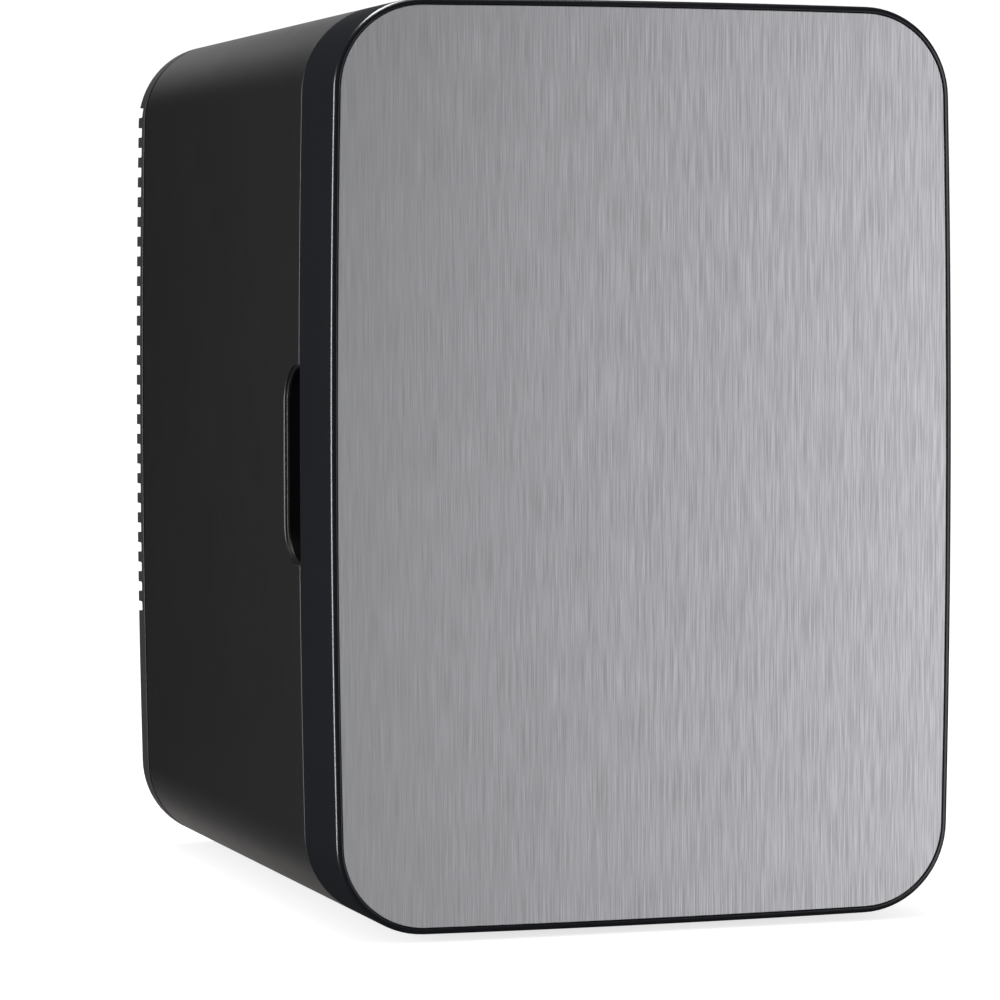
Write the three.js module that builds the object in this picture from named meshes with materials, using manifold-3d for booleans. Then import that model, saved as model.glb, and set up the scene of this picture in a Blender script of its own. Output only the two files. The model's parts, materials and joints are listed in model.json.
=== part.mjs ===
// Mini fridge: a free-standing thermoelectric cooler and warmer, modelled in millimetres.
// +X right as seen from the front, +Y towards the back, +Z up. The origin is on the floor,
// at the centre of the overall box. The door's front faces -Y and hinges on the right.
import * as THREE from "three";
import { mergeVertices } from "three/addons/utils/BufferGeometryUtils.js";
import Module from "manifold-3d";

const wasm = await Module();
wasm.setup();

// ---- Driving dimensions ---------------------------------------------------------------------
const WIDTH = 288;
const DEPTH = 370;
const BODY_HEIGHT = 404;
const FOOT_HEIGHT = 3;
const CORNER_R = 40;
const SIDE_BOW_R = 7000;
const TOP_BOW_R = 8400;
const GAP = 0.3;

const HALF_W = WIDTH / 2;
const HALF_H = BODY_HEIGHT / 2;
const FLOOR_Z = -HALF_H - FOOT_HEIGHT;

// Stations along the depth
const FRONT_Y = -DEPTH / 2;
const BACK_Y = DEPTH / 2;
const DOOR_T = 51.6;
const DOOR_REAR_Y = FRONT_Y + DOOR_T;
const SEAM = 0.8;
const CABINET_FRONT_Y = DOOR_REAR_Y + SEAM;
const COVER_T = 16.6;
const COVER_FRONT_Y = BACK_Y - COVER_T;
const CABINET_REAR_Y = COVER_FRONT_Y - 0.4;
const SHELL_T = 2.8;

// Cooled space
const CAVITY_HALF_W = 104;
const CAVITY_HALF_H = 157;
const CAVITY_R = 14;
const CAVITY_REAR_Y = 38;
const LINER_T = 2;
const FOAM_REAR_Y = 80;

// Heat pump axis, height above the body's centre
const PUMP_Z = 60;
const PUMP_WINDOW = 43;

// Finger pocket in the left side
const POCKET_HALF_H = 45.5;
const POCKET_DEPTH_Y = 26;
const POCKET_DEPTH_X = 17;
const POCKET_R = 20;
const POCKET_WALL = 2;

// Hinges on the right side
const BARREL_R = 3.6;
const HINGE_X = HALF_W + 2.4;
const HINGE_Y = (DOOR_REAR_Y + CABINET_FRONT_Y) / 2;
const HINGE_Z = 120;
const HINGE_HALF_H = 22;
const HINGE_STANDS_OUT = HINGE_X + BARREL_R - HALF_W;

// Rear cover slots
const SLOT_COUNT = 26;
const SLOT_PITCH = 10;
const SLOT_HEIGHT = 5;
const SLOT_FIRST_Z = -83;
const SLOT_DEPTH = 9.5;

// ---- Materials ------------------------------------------------------------------------------
const finish = (color, roughness, metalness) =>
  new THREE.MeshStandardMaterial({ color, roughness, metalness });
const MATERIAL = {
  shell: finish(0x1c1c1d, 0.42, 0),
  doorShell: finish(0x17181a, 0.28, 0),
  cover: finish(0x1a1a1b, 0.5, 0),
  steel: finish(0xa9a9ad, 0.36, 1),
  liner: finish(0xb9bcc0, 0.4, 0),
  foam: finish(0xe9e2c6, 0.95, 0),
  clear: finish(0xd8e2e6, 0.1, 0),
  rubber: finish(0x101010, 0.85, 0),
  aluminium: finish(0xb9bbbd, 0.35, 1),
  darkPlastic: finish(0x131314, 0.5, 0),
  zinc: finish(0x9a9a98, 0.35, 1),
  ceramic: finish(0xf1f1ee, 0.5, 0),
  board: finish(0x1f5a37, 0.5, 0),
  winding: finish(0xd6b23a, 0.5, 0),
  green: finish(0x2ec24a, 0.2, 0),
  red: finish(0xd0332b, 0.2, 0),
};

// ---- Solids ---------------------------------------------------------------------------------
// A closed geometry as a solid that can be joined and cut.
function solid(geometry) {
  const bare = geometry.clone();
  bare.deleteAttribute("normal");
  bare.deleteAttribute("uv");
  const merged = mergeVertices(bare, 1e-4);
  const index = merged.index.array;
  const vertProperties = new Float32Array(merged.attributes.position.array);
  return new wasm.Manifold(new wasm.Mesh({ numProp: 3, vertProperties, triVerts: new Uint32Array(index) }));
}

const join = (first, ...rest) => rest.reduce((whole, piece) => whole.add(piece), first);
const cut = (first, ...rest) => rest.reduce((whole, piece) => whole.subtract(piece), first);

// A solid as a named mesh.
function part(name, shape, material) {
  const { vertProperties, triVerts } = shape.getMesh();
  const geometry = new THREE.BufferGeometry();
  geometry.setAttribute("position", new THREE.BufferAttribute(vertProperties, 3));
  geometry.setIndex(new THREE.BufferAttribute(triVerts, 1));
  geometry.computeVertexNormals();
  const mesh = new THREE.Mesh(geometry, material);
  mesh.name = name;
  return mesh;
}

function block(x0, x1, y0, y1, z0, z1) {
  const geometry = new THREE.BoxGeometry(x1 - x0, y1 - y0, z1 - z0);
  geometry.translate((x0 + x1) / 2, (y0 + y1) / 2, (z0 + z1) / 2);
  return solid(geometry);
}

// A round rod from one end to the other along an axis letter, centred on the other two coordinates.
function rod(axis, [x, y, z], r, from, to, sides = 20) {
  const geometry = new THREE.CylinderGeometry(r, r, to - from, sides);
  const middle = (from + to) / 2;
  if (axis === "x") geometry.rotateZ(Math.PI / 2).translate(middle, y, z);
  if (axis === "y") geometry.translate(x, middle, z);
  if (axis === "z") geometry.rotateX(Math.PI / 2).translate(x, y, middle);
  return solid(geometry);
}

// A flat outline drawn in X and Z, extruded along +Y. A bevel rounds both ends.
function slab(outline, y0, y1, bevel = 0, bevelSegments = 2) {
  const options = { depth: y1 - y0 - 2 * bevel, bevelEnabled: bevel > 0, bevelSegments };
  Object.assign(options, { bevelThickness: bevel, bevelSize: bevel, bevelOffset: -bevel });
  const geometry = new THREE.ExtrudeGeometry(new THREE.Shape(outline), options);
  geometry.rotateX(Math.PI / 2).translate(0, y1 - bevel, 0);
  return solid(geometry);
}

// A flat outline drawn in Y and Z, extruded along +X.
function sideSlab(outline, x0, x1) {
  const options = { depth: x1 - x0, bevelEnabled: false };
  const geometry = new THREE.ExtrudeGeometry(new THREE.Shape(outline), options);
  geometry.rotateX(Math.PI / 2).rotateZ(Math.PI / 2).translate(x0, 0, 0);
  return solid(geometry);
}

function arc(cx, cy, r, from, to, steps) {
  const points = [];
  for (let i = 0; i < steps; i += 1) {
    const t = from + ((to - from) * i) / steps;
    points.push(new THREE.Vector2(cx + r * Math.cos(t), cy + r * Math.sin(t)));
  }
  return points;
}

// The body's outline, set in by a distance: four corner arcs joined by very large arcs,
// each tangent to its neighbours, so that the sides bow out slightly.
function bodyOutline(inset = 0, cornerSteps = 8, sideSteps = 4) {
  const a = HALF_W - inset;
  const b = HALF_H - inset;
  const r = Math.max(CORNER_R - inset, 2);
  const rv = SIDE_BOW_R - inset;
  const rh = TOP_BOW_R - inset;
  const sideCentre = new THREE.Vector2(a - rv, 0);
  const topCentre = new THREE.Vector2(0, b - rh);
  const between = topCentre.clone().sub(sideCentre);
  const span = between.length();
  const along = (span ** 2 + (rv - r) ** 2 - (rh - r) ** 2) / (2 * span);
  const across = Math.sqrt((rv - r) ** 2 - along ** 2);
  const unit = between.normalize();
  const corner = sideCentre
    .clone()
    .addScaledVector(unit, along)
    .add(new THREE.Vector2(-unit.y, unit.x).multiplyScalar(across));
  const t1 = Math.atan2(corner.y, corner.x - sideCentre.x);
  const t2 = Math.atan2(corner.y - topCentre.y, corner.x);
  const quarter = [
    ...arc(sideCentre.x, 0, rv, 0, t1, sideSteps),
    ...arc(corner.x, corner.y, r, t1, t2, cornerSteps),
    ...arc(0, topCentre.y, rh, t2, Math.PI / 2, sideSteps),
    new THREE.Vector2(0, b),
  ];
  const mirrored = (sx, sy) => quarter.map((p) => new THREE.Vector2(sx * p.x, sy * p.y));
  return [
    ...quarter,
    ...mirrored(-1, 1).reverse().slice(1),
    ...mirrored(-1, -1).slice(1),
    ...mirrored(1, -1).reverse().slice(1, -1),
  ];
}

// A rectangle with rounded corners, centred on (x, z).
function roundedRectangle(halfW, halfH, r, x = 0, z = 0, steps = 4) {
  const centres = [
    [1, 1, 0],
    [-1, 1, 1],
    [-1, -1, 2],
    [1, -1, 3],
  ];
  return centres.flatMap(([sx, sz, quarter]) => {
    const from = (quarter * Math.PI) / 2;
    const points = arc(x + sx * (halfW - r), z + sz * (halfH - r), r, from, from + Math.PI / 2, steps);
    const end = new THREE.Vector2(
      x + sx * (halfW - r) + r * Math.cos(from + Math.PI / 2),
      z + sz * (halfH - r) + r * Math.sin(from + Math.PI / 2),
    );
    return [...points, end];
  });
}

const ring = (outer, inner, y0, y1) => cut(slab(outer, y0, y1), slab(inner, y0 - 1, y1 + 1));

const each = (values, make) => values.map(make);
const BOTH = [-1, 1];

// ---- Places that several pieces share -------------------------------------------------------
const FEET = [
  ["foot_front_left", -88, -100],
  ["foot_front_right", 88, -100],
  ["foot_rear_left", -88, 130],
  ["foot_rear_right", 88, 130],
];
const COVER_SCREWS = BOTH.flatMap((sx) => each(BOTH, (sz) => [sx * 84, sz * 186]));
const LEAF_SCREW_Z = 13;
const CABINET_LEAF_SCREW_Y = CABINET_FRONT_Y + 20;
const DOOR_LEAF_SCREW_Y = DOOR_REAR_Y - 20;
const CLAMP_SCREWS = each(BOTH, (s) => PUMP_Z + s * 28);
const HINGES = [
  ["upper", HINGE_Z],
  ["lower", -HINGE_Z],
];
const BOARD_Z = -130;

function pocketOutline(grow) {
  const rear = CABINET_FRONT_Y + POCKET_DEPTH_Y + grow;
  const front = CABINET_FRONT_Y - (grow > 0 ? 0 : 5);
  const half = POCKET_HALF_H + grow;
  const r = POCKET_R + grow;
  const points = [
    new THREE.Vector2(front, -half),
    ...arc(rear - r, -half + r, r, -Math.PI / 2, 0, 6),
    ...arc(rear - r, half - r, r, 0, Math.PI / 2, 6),
    new THREE.Vector2(rear - r, half),
    new THREE.Vector2(front, half),
  ];
  return points;
}

const pocketVoid = () => sideSlab(pocketOutline(0), -HALF_W - 10, -HALF_W + POCKET_DEPTH_X);
const pocketBowl = (grow) =>
  sideSlab(pocketOutline(POCKET_WALL + grow), -HALF_W + 1.2, -HALF_W + POCKET_DEPTH_X + POCKET_WALL + grow);

// Clearance holes for the hinge screws of one leaf.
const leafScrewHoles = (y, r) =>
  HINGES.flatMap(([, z]) =>
    each(BOTH, (s) => rod("x", [0, y, z + s * LEAF_SCREW_Z], r, HALF_W - 12, HALF_W + 8, 12)),
  );

const barrelRelief = () =>
  HINGES.map(([, z]) =>
    rod("z", [HINGE_X, HINGE_Y, 0], BARREL_R + 0.5, z - HINGE_HALF_H - 2.6, z + HINGE_HALF_H + 2.6, 24),
  );

// ---- Cabinet --------------------------------------------------------------------------------
function cabinetShell() {
  const sleeve = ring(bodyOutline(0), bodyOutline(SHELL_T), CABINET_FRONT_Y, CABINET_REAR_Y);
  const holes = FEET.map(([, x, y]) => rod("z", [x, y, 0], 4.4, -HALF_H - 2, -HALF_H + 6, 16));
  const bowl = slab(bodyOutline(0.6), CABINET_FRONT_Y, 0).intersect(pocketBowl(0));
  return cut(
    join(sleeve, bowl),
    pocketVoid(),
    ...holes,
    ...leafScrewHoles(CABINET_LEAF_SCREW_Y, 1.9),
    ...barrelRelief(),
  );
}

const FLANGE_T = 2.4;
const RAIL_Z = -3.9;

function innerLiner() {
  const inner = roundedRectangle(CAVITY_HALF_W, CAVITY_HALF_H, CAVITY_R);
  const outer = roundedRectangle(CAVITY_HALF_W + LINER_T, CAVITY_HALF_H + LINER_T, CAVITY_R + LINER_T);
  const flange = slab(bodyOutline(SHELL_T + GAP), CABINET_FRONT_Y, CABINET_FRONT_Y + FLANGE_T);
  const tub = join(flange, slab(outer, CABINET_FRONT_Y, CAVITY_REAR_Y + LINER_T));
  const hollow = slab(inner, CABINET_FRONT_Y - 1, CAVITY_REAR_Y);
  const window = slab(roundedRectangle(PUMP_WINDOW, PUMP_WINDOW, 3, 0, PUMP_Z), 30, 50);
  const rails = BOTH.flatMap((s) => {
    const [x0, x1] = [s * 97, s * (CAVITY_HALF_W + 1)].sort((p, q) => p - q);
    return [block(x0, x1, -112, 34, RAIL_Z - 3.5, RAIL_Z), block(x0, x1, -112, 34, RAIL_Z + 4, RAIL_Z + 6.5)];
  });
  const reliefs = barrelRelief();
  return cut(join(cut(tub, hollow), ...rails), window, pocketBowl(GAP), pocketVoid(), ...reliefs);
}

const STRIKE_X = -116;
const strikeBlock = (grow) =>
  block(
    STRIKE_X - 5 - grow,
    STRIKE_X + 5 + grow,
    CABINET_FRONT_Y + FLANGE_T + GAP - grow,
    CABINET_FRONT_Y + FLANGE_T + GAP + 0.8 + grow,
    -120 - grow,
    120 + grow,
  );

function insulationFoam() {
  const whole = slab(bodyOutline(SHELL_T + GAP), CABINET_FRONT_Y + FLANGE_T + GAP, FOAM_REAR_Y);
  const liner = roundedRectangle(
    CAVITY_HALF_W + LINER_T + GAP,
    CAVITY_HALF_H + LINER_T + GAP,
    CAVITY_R + LINER_T + GAP,
  );
  const stems = FEET.map(([, x, y]) => rod("z", [x, y, 0], 5, -HALF_H - 2, -HALF_H + 9, 16));
  return cut(
    whole,
    slab(liner, CABINET_FRONT_Y, CAVITY_REAR_Y + LINER_T + GAP),
    block(-22.3, 22.3, CAVITY_REAR_Y, FOAM_REAR_Y + 1, PUMP_Z - 34.3, PUMP_Z + 34.3),
    pocketBowl(GAP),
    strikeBlock(GAP),
    ...stems,
    ...leafScrewHoles(CABINET_LEAF_SCREW_Y, 2.2),
  );
}

const PARTITION_Y = FOAM_REAR_Y + GAP;
const PARTITION_T = 3;
const POST_END_Y = 177.4;
const BOARD_Y = 92;
const BOARD_POSTS = BOTH.flatMap((sx) => each(BOTH, (sz) => [sx * 50, BOARD_Z + sz * 30]));

function rearPartition() {
  const y1 = PARTITION_Y + PARTITION_T;
  const plate = slab(bodyOutline(SHELL_T + GAP), PARTITION_Y, y1);
  const posts = COVER_SCREWS.map(([x, z]) => rod("y", [x, 0, z], 5, y1 - 1, POST_END_Y, 10));
  const pilots = COVER_SCREWS.map(([x, z]) => rod("y", [x, 0, z], 1.9, POST_END_Y - 15, POST_END_Y + 1, 8));
  const standoffs = BOARD_POSTS.map(([x, z]) => rod("y", [x, 0, z], 3, y1 - 1, BOARD_Y - GAP, 12));
  const window = block(-24, 24, PARTITION_Y - 1, y1 + 1, PUMP_Z - 36, PUMP_Z + 36);
  return cut(join(plate, ...posts, ...standoffs), window, ...pilots);
}

// Rear cover: a shallow tray with air slots that cross the back and both side edges.
const COVER_WALL = 2.5;
const CONTROL_Z = -125;
const INLET = { x: -72, halfW: 12, halfH: 9 };
const SOCKET = { x: -20, halfW: 10, halfH: 7.5 };
const SWITCH = { x: 32, halfW: 13, halfH: 6 };
const LIGHTS = [
  ["indicator_light_cold", 66, "green"],
  ["indicator_light_warm", 78, "red"],
];

function rearCover() {
  const back = slab(bodyOutline(0), COVER_FRONT_Y - 3, BACK_Y, 2, 1);
  const tray = cut(
    back,
    block(-200, 200, COVER_FRONT_Y - 10, COVER_FRONT_Y, -250, 250),
    slab(bodyOutline(COVER_WALL), COVER_FRONT_Y - 10, BACK_Y - COVER_WALL),
  );
  const skirt = ring(bodyOutline(SHELL_T + GAP), bodyOutline(SHELL_T + 2.2), COVER_FRONT_Y - 5, COVER_FRONT_Y + 3);
  const lip = ring(bodyOutline(1.2), bodyOutline(SHELL_T + 2.2), COVER_FRONT_Y, COVER_FRONT_Y + 3);
  const slots = [];
  for (let i = 0; i < SLOT_COUNT; i += 1) {
    const z = SLOT_FIRST_Z + i * SLOT_PITCH;
    slots.push(block(-160, 160, BACK_Y - SLOT_DEPTH, BACK_Y + 2, z - SLOT_HEIGHT / 2, z + SLOT_HEIGHT / 2));
  }
  const grilleTop = SLOT_FIRST_Z + (SLOT_COUNT - 1) * SLOT_PITCH + 6;
  const rib = block(-2, 2, BACK_Y - 7, BACK_Y - 2.2, SLOT_FIRST_Z - 6, grilleTop);
  const bosses = COVER_SCREWS.map(([x, z]) => rod("y", [x, 0, z], 6.5, POST_END_Y + GAP, BACK_Y - 1, 16));
  const screwHoles = COVER_SCREWS.flatMap(([x, z]) => [
    rod("y", [x, 0, z], 1.9, POST_END_Y - 1, BACK_Y + 1, 12),
    rod("y", [x, 0, z], 3.8, BACK_Y - 2.6, BACK_Y + 1, 16),
  ]);
  const windows = [INLET, SOCKET, SWITCH].map(({ x, halfW, halfH }) =>
    block(x - halfW, x + halfW, BACK_Y - 6, BACK_Y + 1, CONTROL_Z - halfH, CONTROL_Z + halfH),
  );
  const lightHoles = LIGHTS.map(([, x]) => rod("y", [x, 0, CONTROL_Z], 1.9, BACK_Y - 6, BACK_Y + 1, 12));
  const grille = join(cut(join(tray, skirt, lip), ...slots), rib);
  return cut(join(grille, ...bosses), ...screwHoles, ...windows, ...lightHoles);
}

// A screw along an axis: head at `seat` reaching outwards by its thickness, shank inwards to `tip`.
function screw(axis, at, seat, headR, headT, shankR, tip) {
  const out = Math.sign(seat - tip);
  const [h0, h1] = [seat, seat + out * headT].sort((p, q) => p - q);
  const [s0, s1] = [tip, seat + out * 0.1].sort((p, q) => p - q);
  const slot = block(-headR * 2, headR * 2, -headR * 2, headR * 2, -0.4, 0.4);
  const drive = { x: [seat + out * headT, at[1], at[2]], y: [at[0], seat + out * headT, at[2]] }[axis];
  const head = cut(rod(axis, at, headR, h0, h1, 12), slot.translate(drive).intersect(driveZone(axis, drive)));
  return join(head, rod(axis, at, shankR, s0, s1, 8));
}

// The slot of a screw head is only as deep as this zone.
function driveZone(axis, [x, y, z]) {
  const deep = 0.6;
  if (axis === "x") return block(x - deep, x + deep, y - 20, y + 20, z - 2, z + 2);
  return block(x - 20, x + 20, y - deep, y + deep, z - 2, z + 2);
}

function foot([name, x, y]) {
  const seat = -HALF_H + GAP;
  const pad = rod("z", [x, y, 0], 11, FLOOR_Z, -HALF_H + 0.1, 24);
  const stem = rod("z", [x, y, 0], 4, seat - 1, -HALF_H + 7, 16);
  return part(name, join(pad, stem), MATERIAL.rubber);
}

// ---- Heat pump ------------------------------------------------------------------------------
const COLD_BASE_Y = 36;
const COLD_FIN_Y = 21;
const HOT_BASE_Y = 84.1;
const HOT_FIN_END_Y = 121.6;

function coldHeatSink() {
  const base = block(-42, 42, COLD_BASE_Y, CAVITY_REAR_Y + LINER_T, PUMP_Z - 42, PUMP_Z + 42);
  const fins = [];
  for (let x = -39; x <= 39; x += 6.5) {
    fins.push(block(x - 0.6, x + 0.6, COLD_FIN_Y, COLD_BASE_Y + 0.5, PUMP_Z - 42, PUMP_Z + 42));
  }
  return join(base, ...fins);
}

function coldBlock() {
  const y1 = FOAM_REAR_Y - GAP;
  const whole = block(-22, 22, CAVITY_REAR_Y + LINER_T + GAP, y1, PUMP_Z - 34, PUMP_Z + 34);
  return cut(whole, ...CLAMP_SCREWS.map((z) => rod("y", [0, 0, z], 1.7, y1 - 15, y1 + 1, 12)));
}

function hotHeatSink() {
  const base = block(-52, 52, HOT_BASE_Y, HOT_BASE_Y + 5.5, PUMP_Z - 52, PUMP_Z + 52);
  const fins = [];
  for (let i = 0; i < 16; i += 1) {
    const x = (i - 7.5) * 6.8;
    fins.push(block(x - 0.7, x + 0.7, HOT_BASE_Y + 5, HOT_FIN_END_Y, PUMP_Z - 52, PUMP_Z + 52));
  }
  const holes = CLAMP_SCREWS.map((z) => rod("y", [0, 0, z], 1.8, HOT_BASE_Y - 1, HOT_BASE_Y + 7, 12));
  return cut(join(base, ...fins), ...holes);
}

// An axial fan: a square frame with a motor seat on struts, and a bladed rotor on its spindle.
function fanFrame({ half, bore, hub, y0, y1 }) {
  const square = roundedRectangle(half, half, 4, 0, PUMP_Z, 3);
  const frame = cut(slab(square, y0, y1), rod("y", [0, 0, PUMP_Z], bore, y0 - 1, y1 + 1, 24));
  const seat = rod("y", [0, 0, PUMP_Z], hub, y1 - 2.5, y1, 20);
  const strut = (axis) =>
    axis === "x"
      ? block(-bore - 1, bore + 1, y1 - 2.5, y1, PUMP_Z - 1.5, PUMP_Z + 1.5)
      : block(-1.5, 1.5, y1 - 2.5, y1, PUMP_Z - bore - 1, PUMP_Z + bore + 1);
  const spindle = rod("y", [0, 0, PUMP_Z], 1.5, y0 + 4, y1 - 1, 16);
  const corners = BOTH.flatMap((sx) =>
    each(BOTH, (sz) => rod("y", [sx * (half - 5), 0, PUMP_Z + sz * (half - 5)], 2, y0 - 1, y1 + 1, 10)),
  );
  return cut(join(frame, seat, strut("x"), strut("z"), spindle), ...corners);
}

// The rotor is drawn about the fan's own axis; its group carries it into place.
function fanRotor({ bore, hub, y0, y1 }, blades) {
  const [front, rear] = [y0 + 1.5, y1 - 3.2];
  const middle = (front + rear) / 2;
  const cup = cut(rod("y", [0, 0, 0], hub, front, rear, 20), rod("y", [0, 0, 0], 1.7, front + 2, rear + 1, 16));
  const reach = bore - 1.2;
  const vanes = [];
  for (let i = 0; i < blades; i += 1) {
    const vane = new THREE.BoxGeometry(reach - hub + 2, 1.4, (rear - front) * 1.15);
    vane.rotateX(0.6).translate((reach + hub - 2) / 2, 0, 0);
    vane.rotateY((i * 2 * Math.PI) / blades).translate(0, middle, 0);
    vanes.push(solid(vane));
  }
  const sweep = rod("y", [0, 0, 0], reach, front, rear, 24);
  return join(cup, ...vanes.map((vane) => vane.intersect(sweep)));
}

const COLD_FAN = { half: 30, bore: 28, hub: 10, y0: 5, y1: 20 };
const HOT_FAN = { half: 46, bore: 43.5, hub: 17, y0: 122, y1: 147 };

function innerFanCover() {
  const [front, rear] = [0, CAVITY_REAR_Y - GAP];
  const shell = cut(
    slab(roundedRectangle(52, 52, 6, 0, PUMP_Z), front, rear),
    slab(roundedRectangle(50, 50, 4, 0, PUMP_Z), front + 2, rear + 1),
  );
  const slots = [];
  for (let i = 0; i < 7; i += 1) {
    const z = PUMP_Z - 21 + i * 7;
    slots.push(block(-24, 24, front - 1, front + 3, z - 1.6, z + 1.6));
  }
  for (const z of [-30, -15, 0, 15, 30]) {
    slots.push(block(-60, 60, 22, 32, PUMP_Z + z - 4, PUMP_Z + z + 4));
  }
  const pegs = BOTH.flatMap((sx) =>
    each(BOTH, (sz) => rod("y", [sx * 25, 0, PUMP_Z + sz * 25], 2.6, front + 1, COLD_FAN.y0 - GAP, 10)),
  );
  return join(cut(shell, ...slots), ...pegs);
}

// ---- Electrics ------------------------------------------------------------------------------
function powerBoard() {
  return block(-56, 56, BOARD_Y, BOARD_Y + 1.6, BOARD_Z - 36, BOARD_Z + 36);
}

function boardHeatSink() {
  const y0 = BOARD_Y + 1.6 + GAP;
  const fins = [30, 37, 44].map((x) => block(x - 0.7, x + 0.7, y0, y0 + 24, BOARD_Z - 28, BOARD_Z + 12));
  return join(block(29.3, 44.7, y0, y0 + 2.5, BOARD_Z - 28, BOARD_Z + 12), ...fins);
}

function transformer() {
  const y0 = BOARD_Y + 1.6 + GAP;
  const core = block(-22, 8, y0, y0 + 24, BOARD_Z - 22, BOARD_Z - 14);
  const top = block(-22, 8, y0, y0 + 24, BOARD_Z + 4, BOARD_Z + 12);
  const winding = block(-18, 4, y0 + 1.5, y0 + 22.5, BOARD_Z - 15, BOARD_Z + 5);
  return join(core, top, winding);
}

function capacitor() {
  const y0 = BOARD_Y + 1.6 + GAP;
  return join(
    rod("y", [-40, 0, BOARD_Z + 12], 9, y0, y0 + 27, 24),
    rod("y", [-40, 0, BOARD_Z + 12], 8.2, y0 + 26, y0 + 28, 24),
  );
}

const SOCKET_FLANGE_Y = [BACK_Y - COVER_WALL - GAP - 2, BACK_Y - COVER_WALL - GAP];

function socketBody({ x, halfW, halfH }, recess, deep, back) {
  const body = block(
    x - halfW + GAP,
    x + halfW - GAP,
    back,
    BACK_Y - 0.4,
    CONTROL_Z - halfH + GAP,
    CONTROL_Z + halfH - GAP,
  );
  const [f0, f1] = SOCKET_FLANGE_Y;
  const flange = block(x - halfW - 3, x + halfW + 3, f0, f1, CONTROL_Z - halfH - 3, CONTROL_Z + halfH + 3);
  return cut(join(body, flange), slab(recess, BACK_Y - deep, BACK_Y + 1));
}

function mainsInlet() {
  const recess = roundedRectangle(8.8, 4.45, 4.4, INLET.x, CONTROL_Z);
  const pins = each(BOTH, (s) => rod("y", [INLET.x + s * 4.4, 0, CONTROL_Z], 1.2, BACK_Y - 13, BACK_Y - 3, 12));
  return join(socketBody(INLET, recess, 12, BACK_Y - 20), ...pins);
}

function dcSocket() {
  const recess = roundedRectangle(7.2, 4.6, 2, SOCKET.x, CONTROL_Z);
  const blades = each(BOTH, (s) =>
    block(SOCKET.x + s * 4.2 - 0.5, SOCKET.x + s * 4.2 + 0.5, BACK_Y - 12, BACK_Y - 3, CONTROL_Z - 2, CONTROL_Z + 2),
  );
  return join(socketBody(SOCKET, recess, 11, BACK_Y - 18), ...blades);
}

const SWITCH_TRAVEL = 4;
const SWITCH_FACE_Y = BACK_Y - 3.4;

function switchBody() {
  const { x, halfW, halfH } = SWITCH;
  const [f0, f1] = SOCKET_FLANGE_Y;
  const body = block(
    x - halfW + GAP,
    x + halfW - GAP,
    BACK_Y - 16,
    SWITCH_FACE_Y,
    CONTROL_Z - halfH + GAP,
    CONTROL_Z + halfH - GAP,
  );
  const flange = block(x - halfW - 3, x + halfW + 3, f0 - 1, f1, CONTROL_Z - halfH - 3, CONTROL_Z + halfH + 3);
  const flangeWindow = block(
    x - halfW + GAP,
    x + halfW - GAP,
    SWITCH_FACE_Y,
    f1 + 1,
    CONTROL_Z - halfH + GAP,
    CONTROL_Z + halfH - GAP,
  );
  const well = block(x - 11, x + 11, BACK_Y - 14, BACK_Y - 9.6, CONTROL_Z - 4.6, CONTROL_Z + 4.6);
  const slot = block(x - 8, x + 8, BACK_Y - 10, BACK_Y, CONTROL_Z - 3, CONTROL_Z + 3);
  return cut(join(body, flange), flangeWindow, well, slot);
}

function switchSlider() {
  const { x } = SWITCH;
  const base = block(x - 6, x + 6, BACK_Y - 13.6, BACK_Y - 10, CONTROL_Z - 4.2, CONTROL_Z + 4.2);
  const knob = block(x - 3.5, x + 3.5, BACK_Y - 10.5, BACK_Y - 0.4, CONTROL_Z - 2.6, CONTROL_Z + 2.6);
  const grips = [-2.1, 0, 2.1].map((dx) =>
    block(x + dx - 0.35, x + dx + 0.35, BACK_Y - 1, BACK_Y, CONTROL_Z - 3, CONTROL_Z + 3),
  );
  return cut(join(base, knob), ...grips);
}

const LIGHT_BOARD_Y = BACK_Y - 12;

function indicatorBoard() {
  return block(58, 86, LIGHT_BOARD_Y - 1.6, LIGHT_BOARD_Y, CONTROL_Z - 7, CONTROL_Z + 7);
}

function indicatorLight(x) {
  const foot = rod("y", [x, 0, CONTROL_Z], 2.3, LIGHT_BOARD_Y + GAP, LIGHT_BOARD_Y + 1.5, 16);
  return join(foot, rod("y", [x, 0, CONTROL_Z], 1.5, LIGHT_BOARD_Y + 1, BACK_Y - 0.3, 16));
}

// ---- Shelf ----------------------------------------------------------------------------------
const SHELF_HALF_W = 102.6;
const SHELF_Y = [-99, 33];

function shelf() {
  const [y0, y1] = SHELF_Y;
  const z0 = RAIL_Z + GAP;
  const plate = block(-SHELF_HALF_W, SHELF_HALF_W, y0, y1, z0, z0 + 3);
  const slots = [];
  for (let i = -7; i <= 7; i += 1) {
    slots.push(block(i * 12 - 2.5, i * 12 + 2.5, y0 + 14, y1 - 14, z0 - 1, z0 + 4));
  }
  return cut(plate, ...slots);
}

// ---- Door -----------------------------------------------------------------------------------
const DOOR_WALL = 3;
const PANEL_INSET = 3;
const PANEL_RECESS = 1.1;
const PANEL_T = 0.6;
const PLATE_T = 2.6;
const RECESS = { halfW: 90, halfH: 150, r: 12, floorY: -166 };
const GASKET_MID = 116;
const GASKET_HALF = 5;
const GROOVE_DEPTH = 4.8;
const GASKET_RISE = CAVITY_HALF_H - CAVITY_HALF_W;

const bandOutline = (offset) =>
  roundedRectangle(GASKET_MID + offset, GASKET_MID + GASKET_RISE + offset, 20 + offset, 0, 0, 5);
const band = (half, y0, y1) => ring(bandOutline(half), bandOutline(-half), y0, y1);

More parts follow.
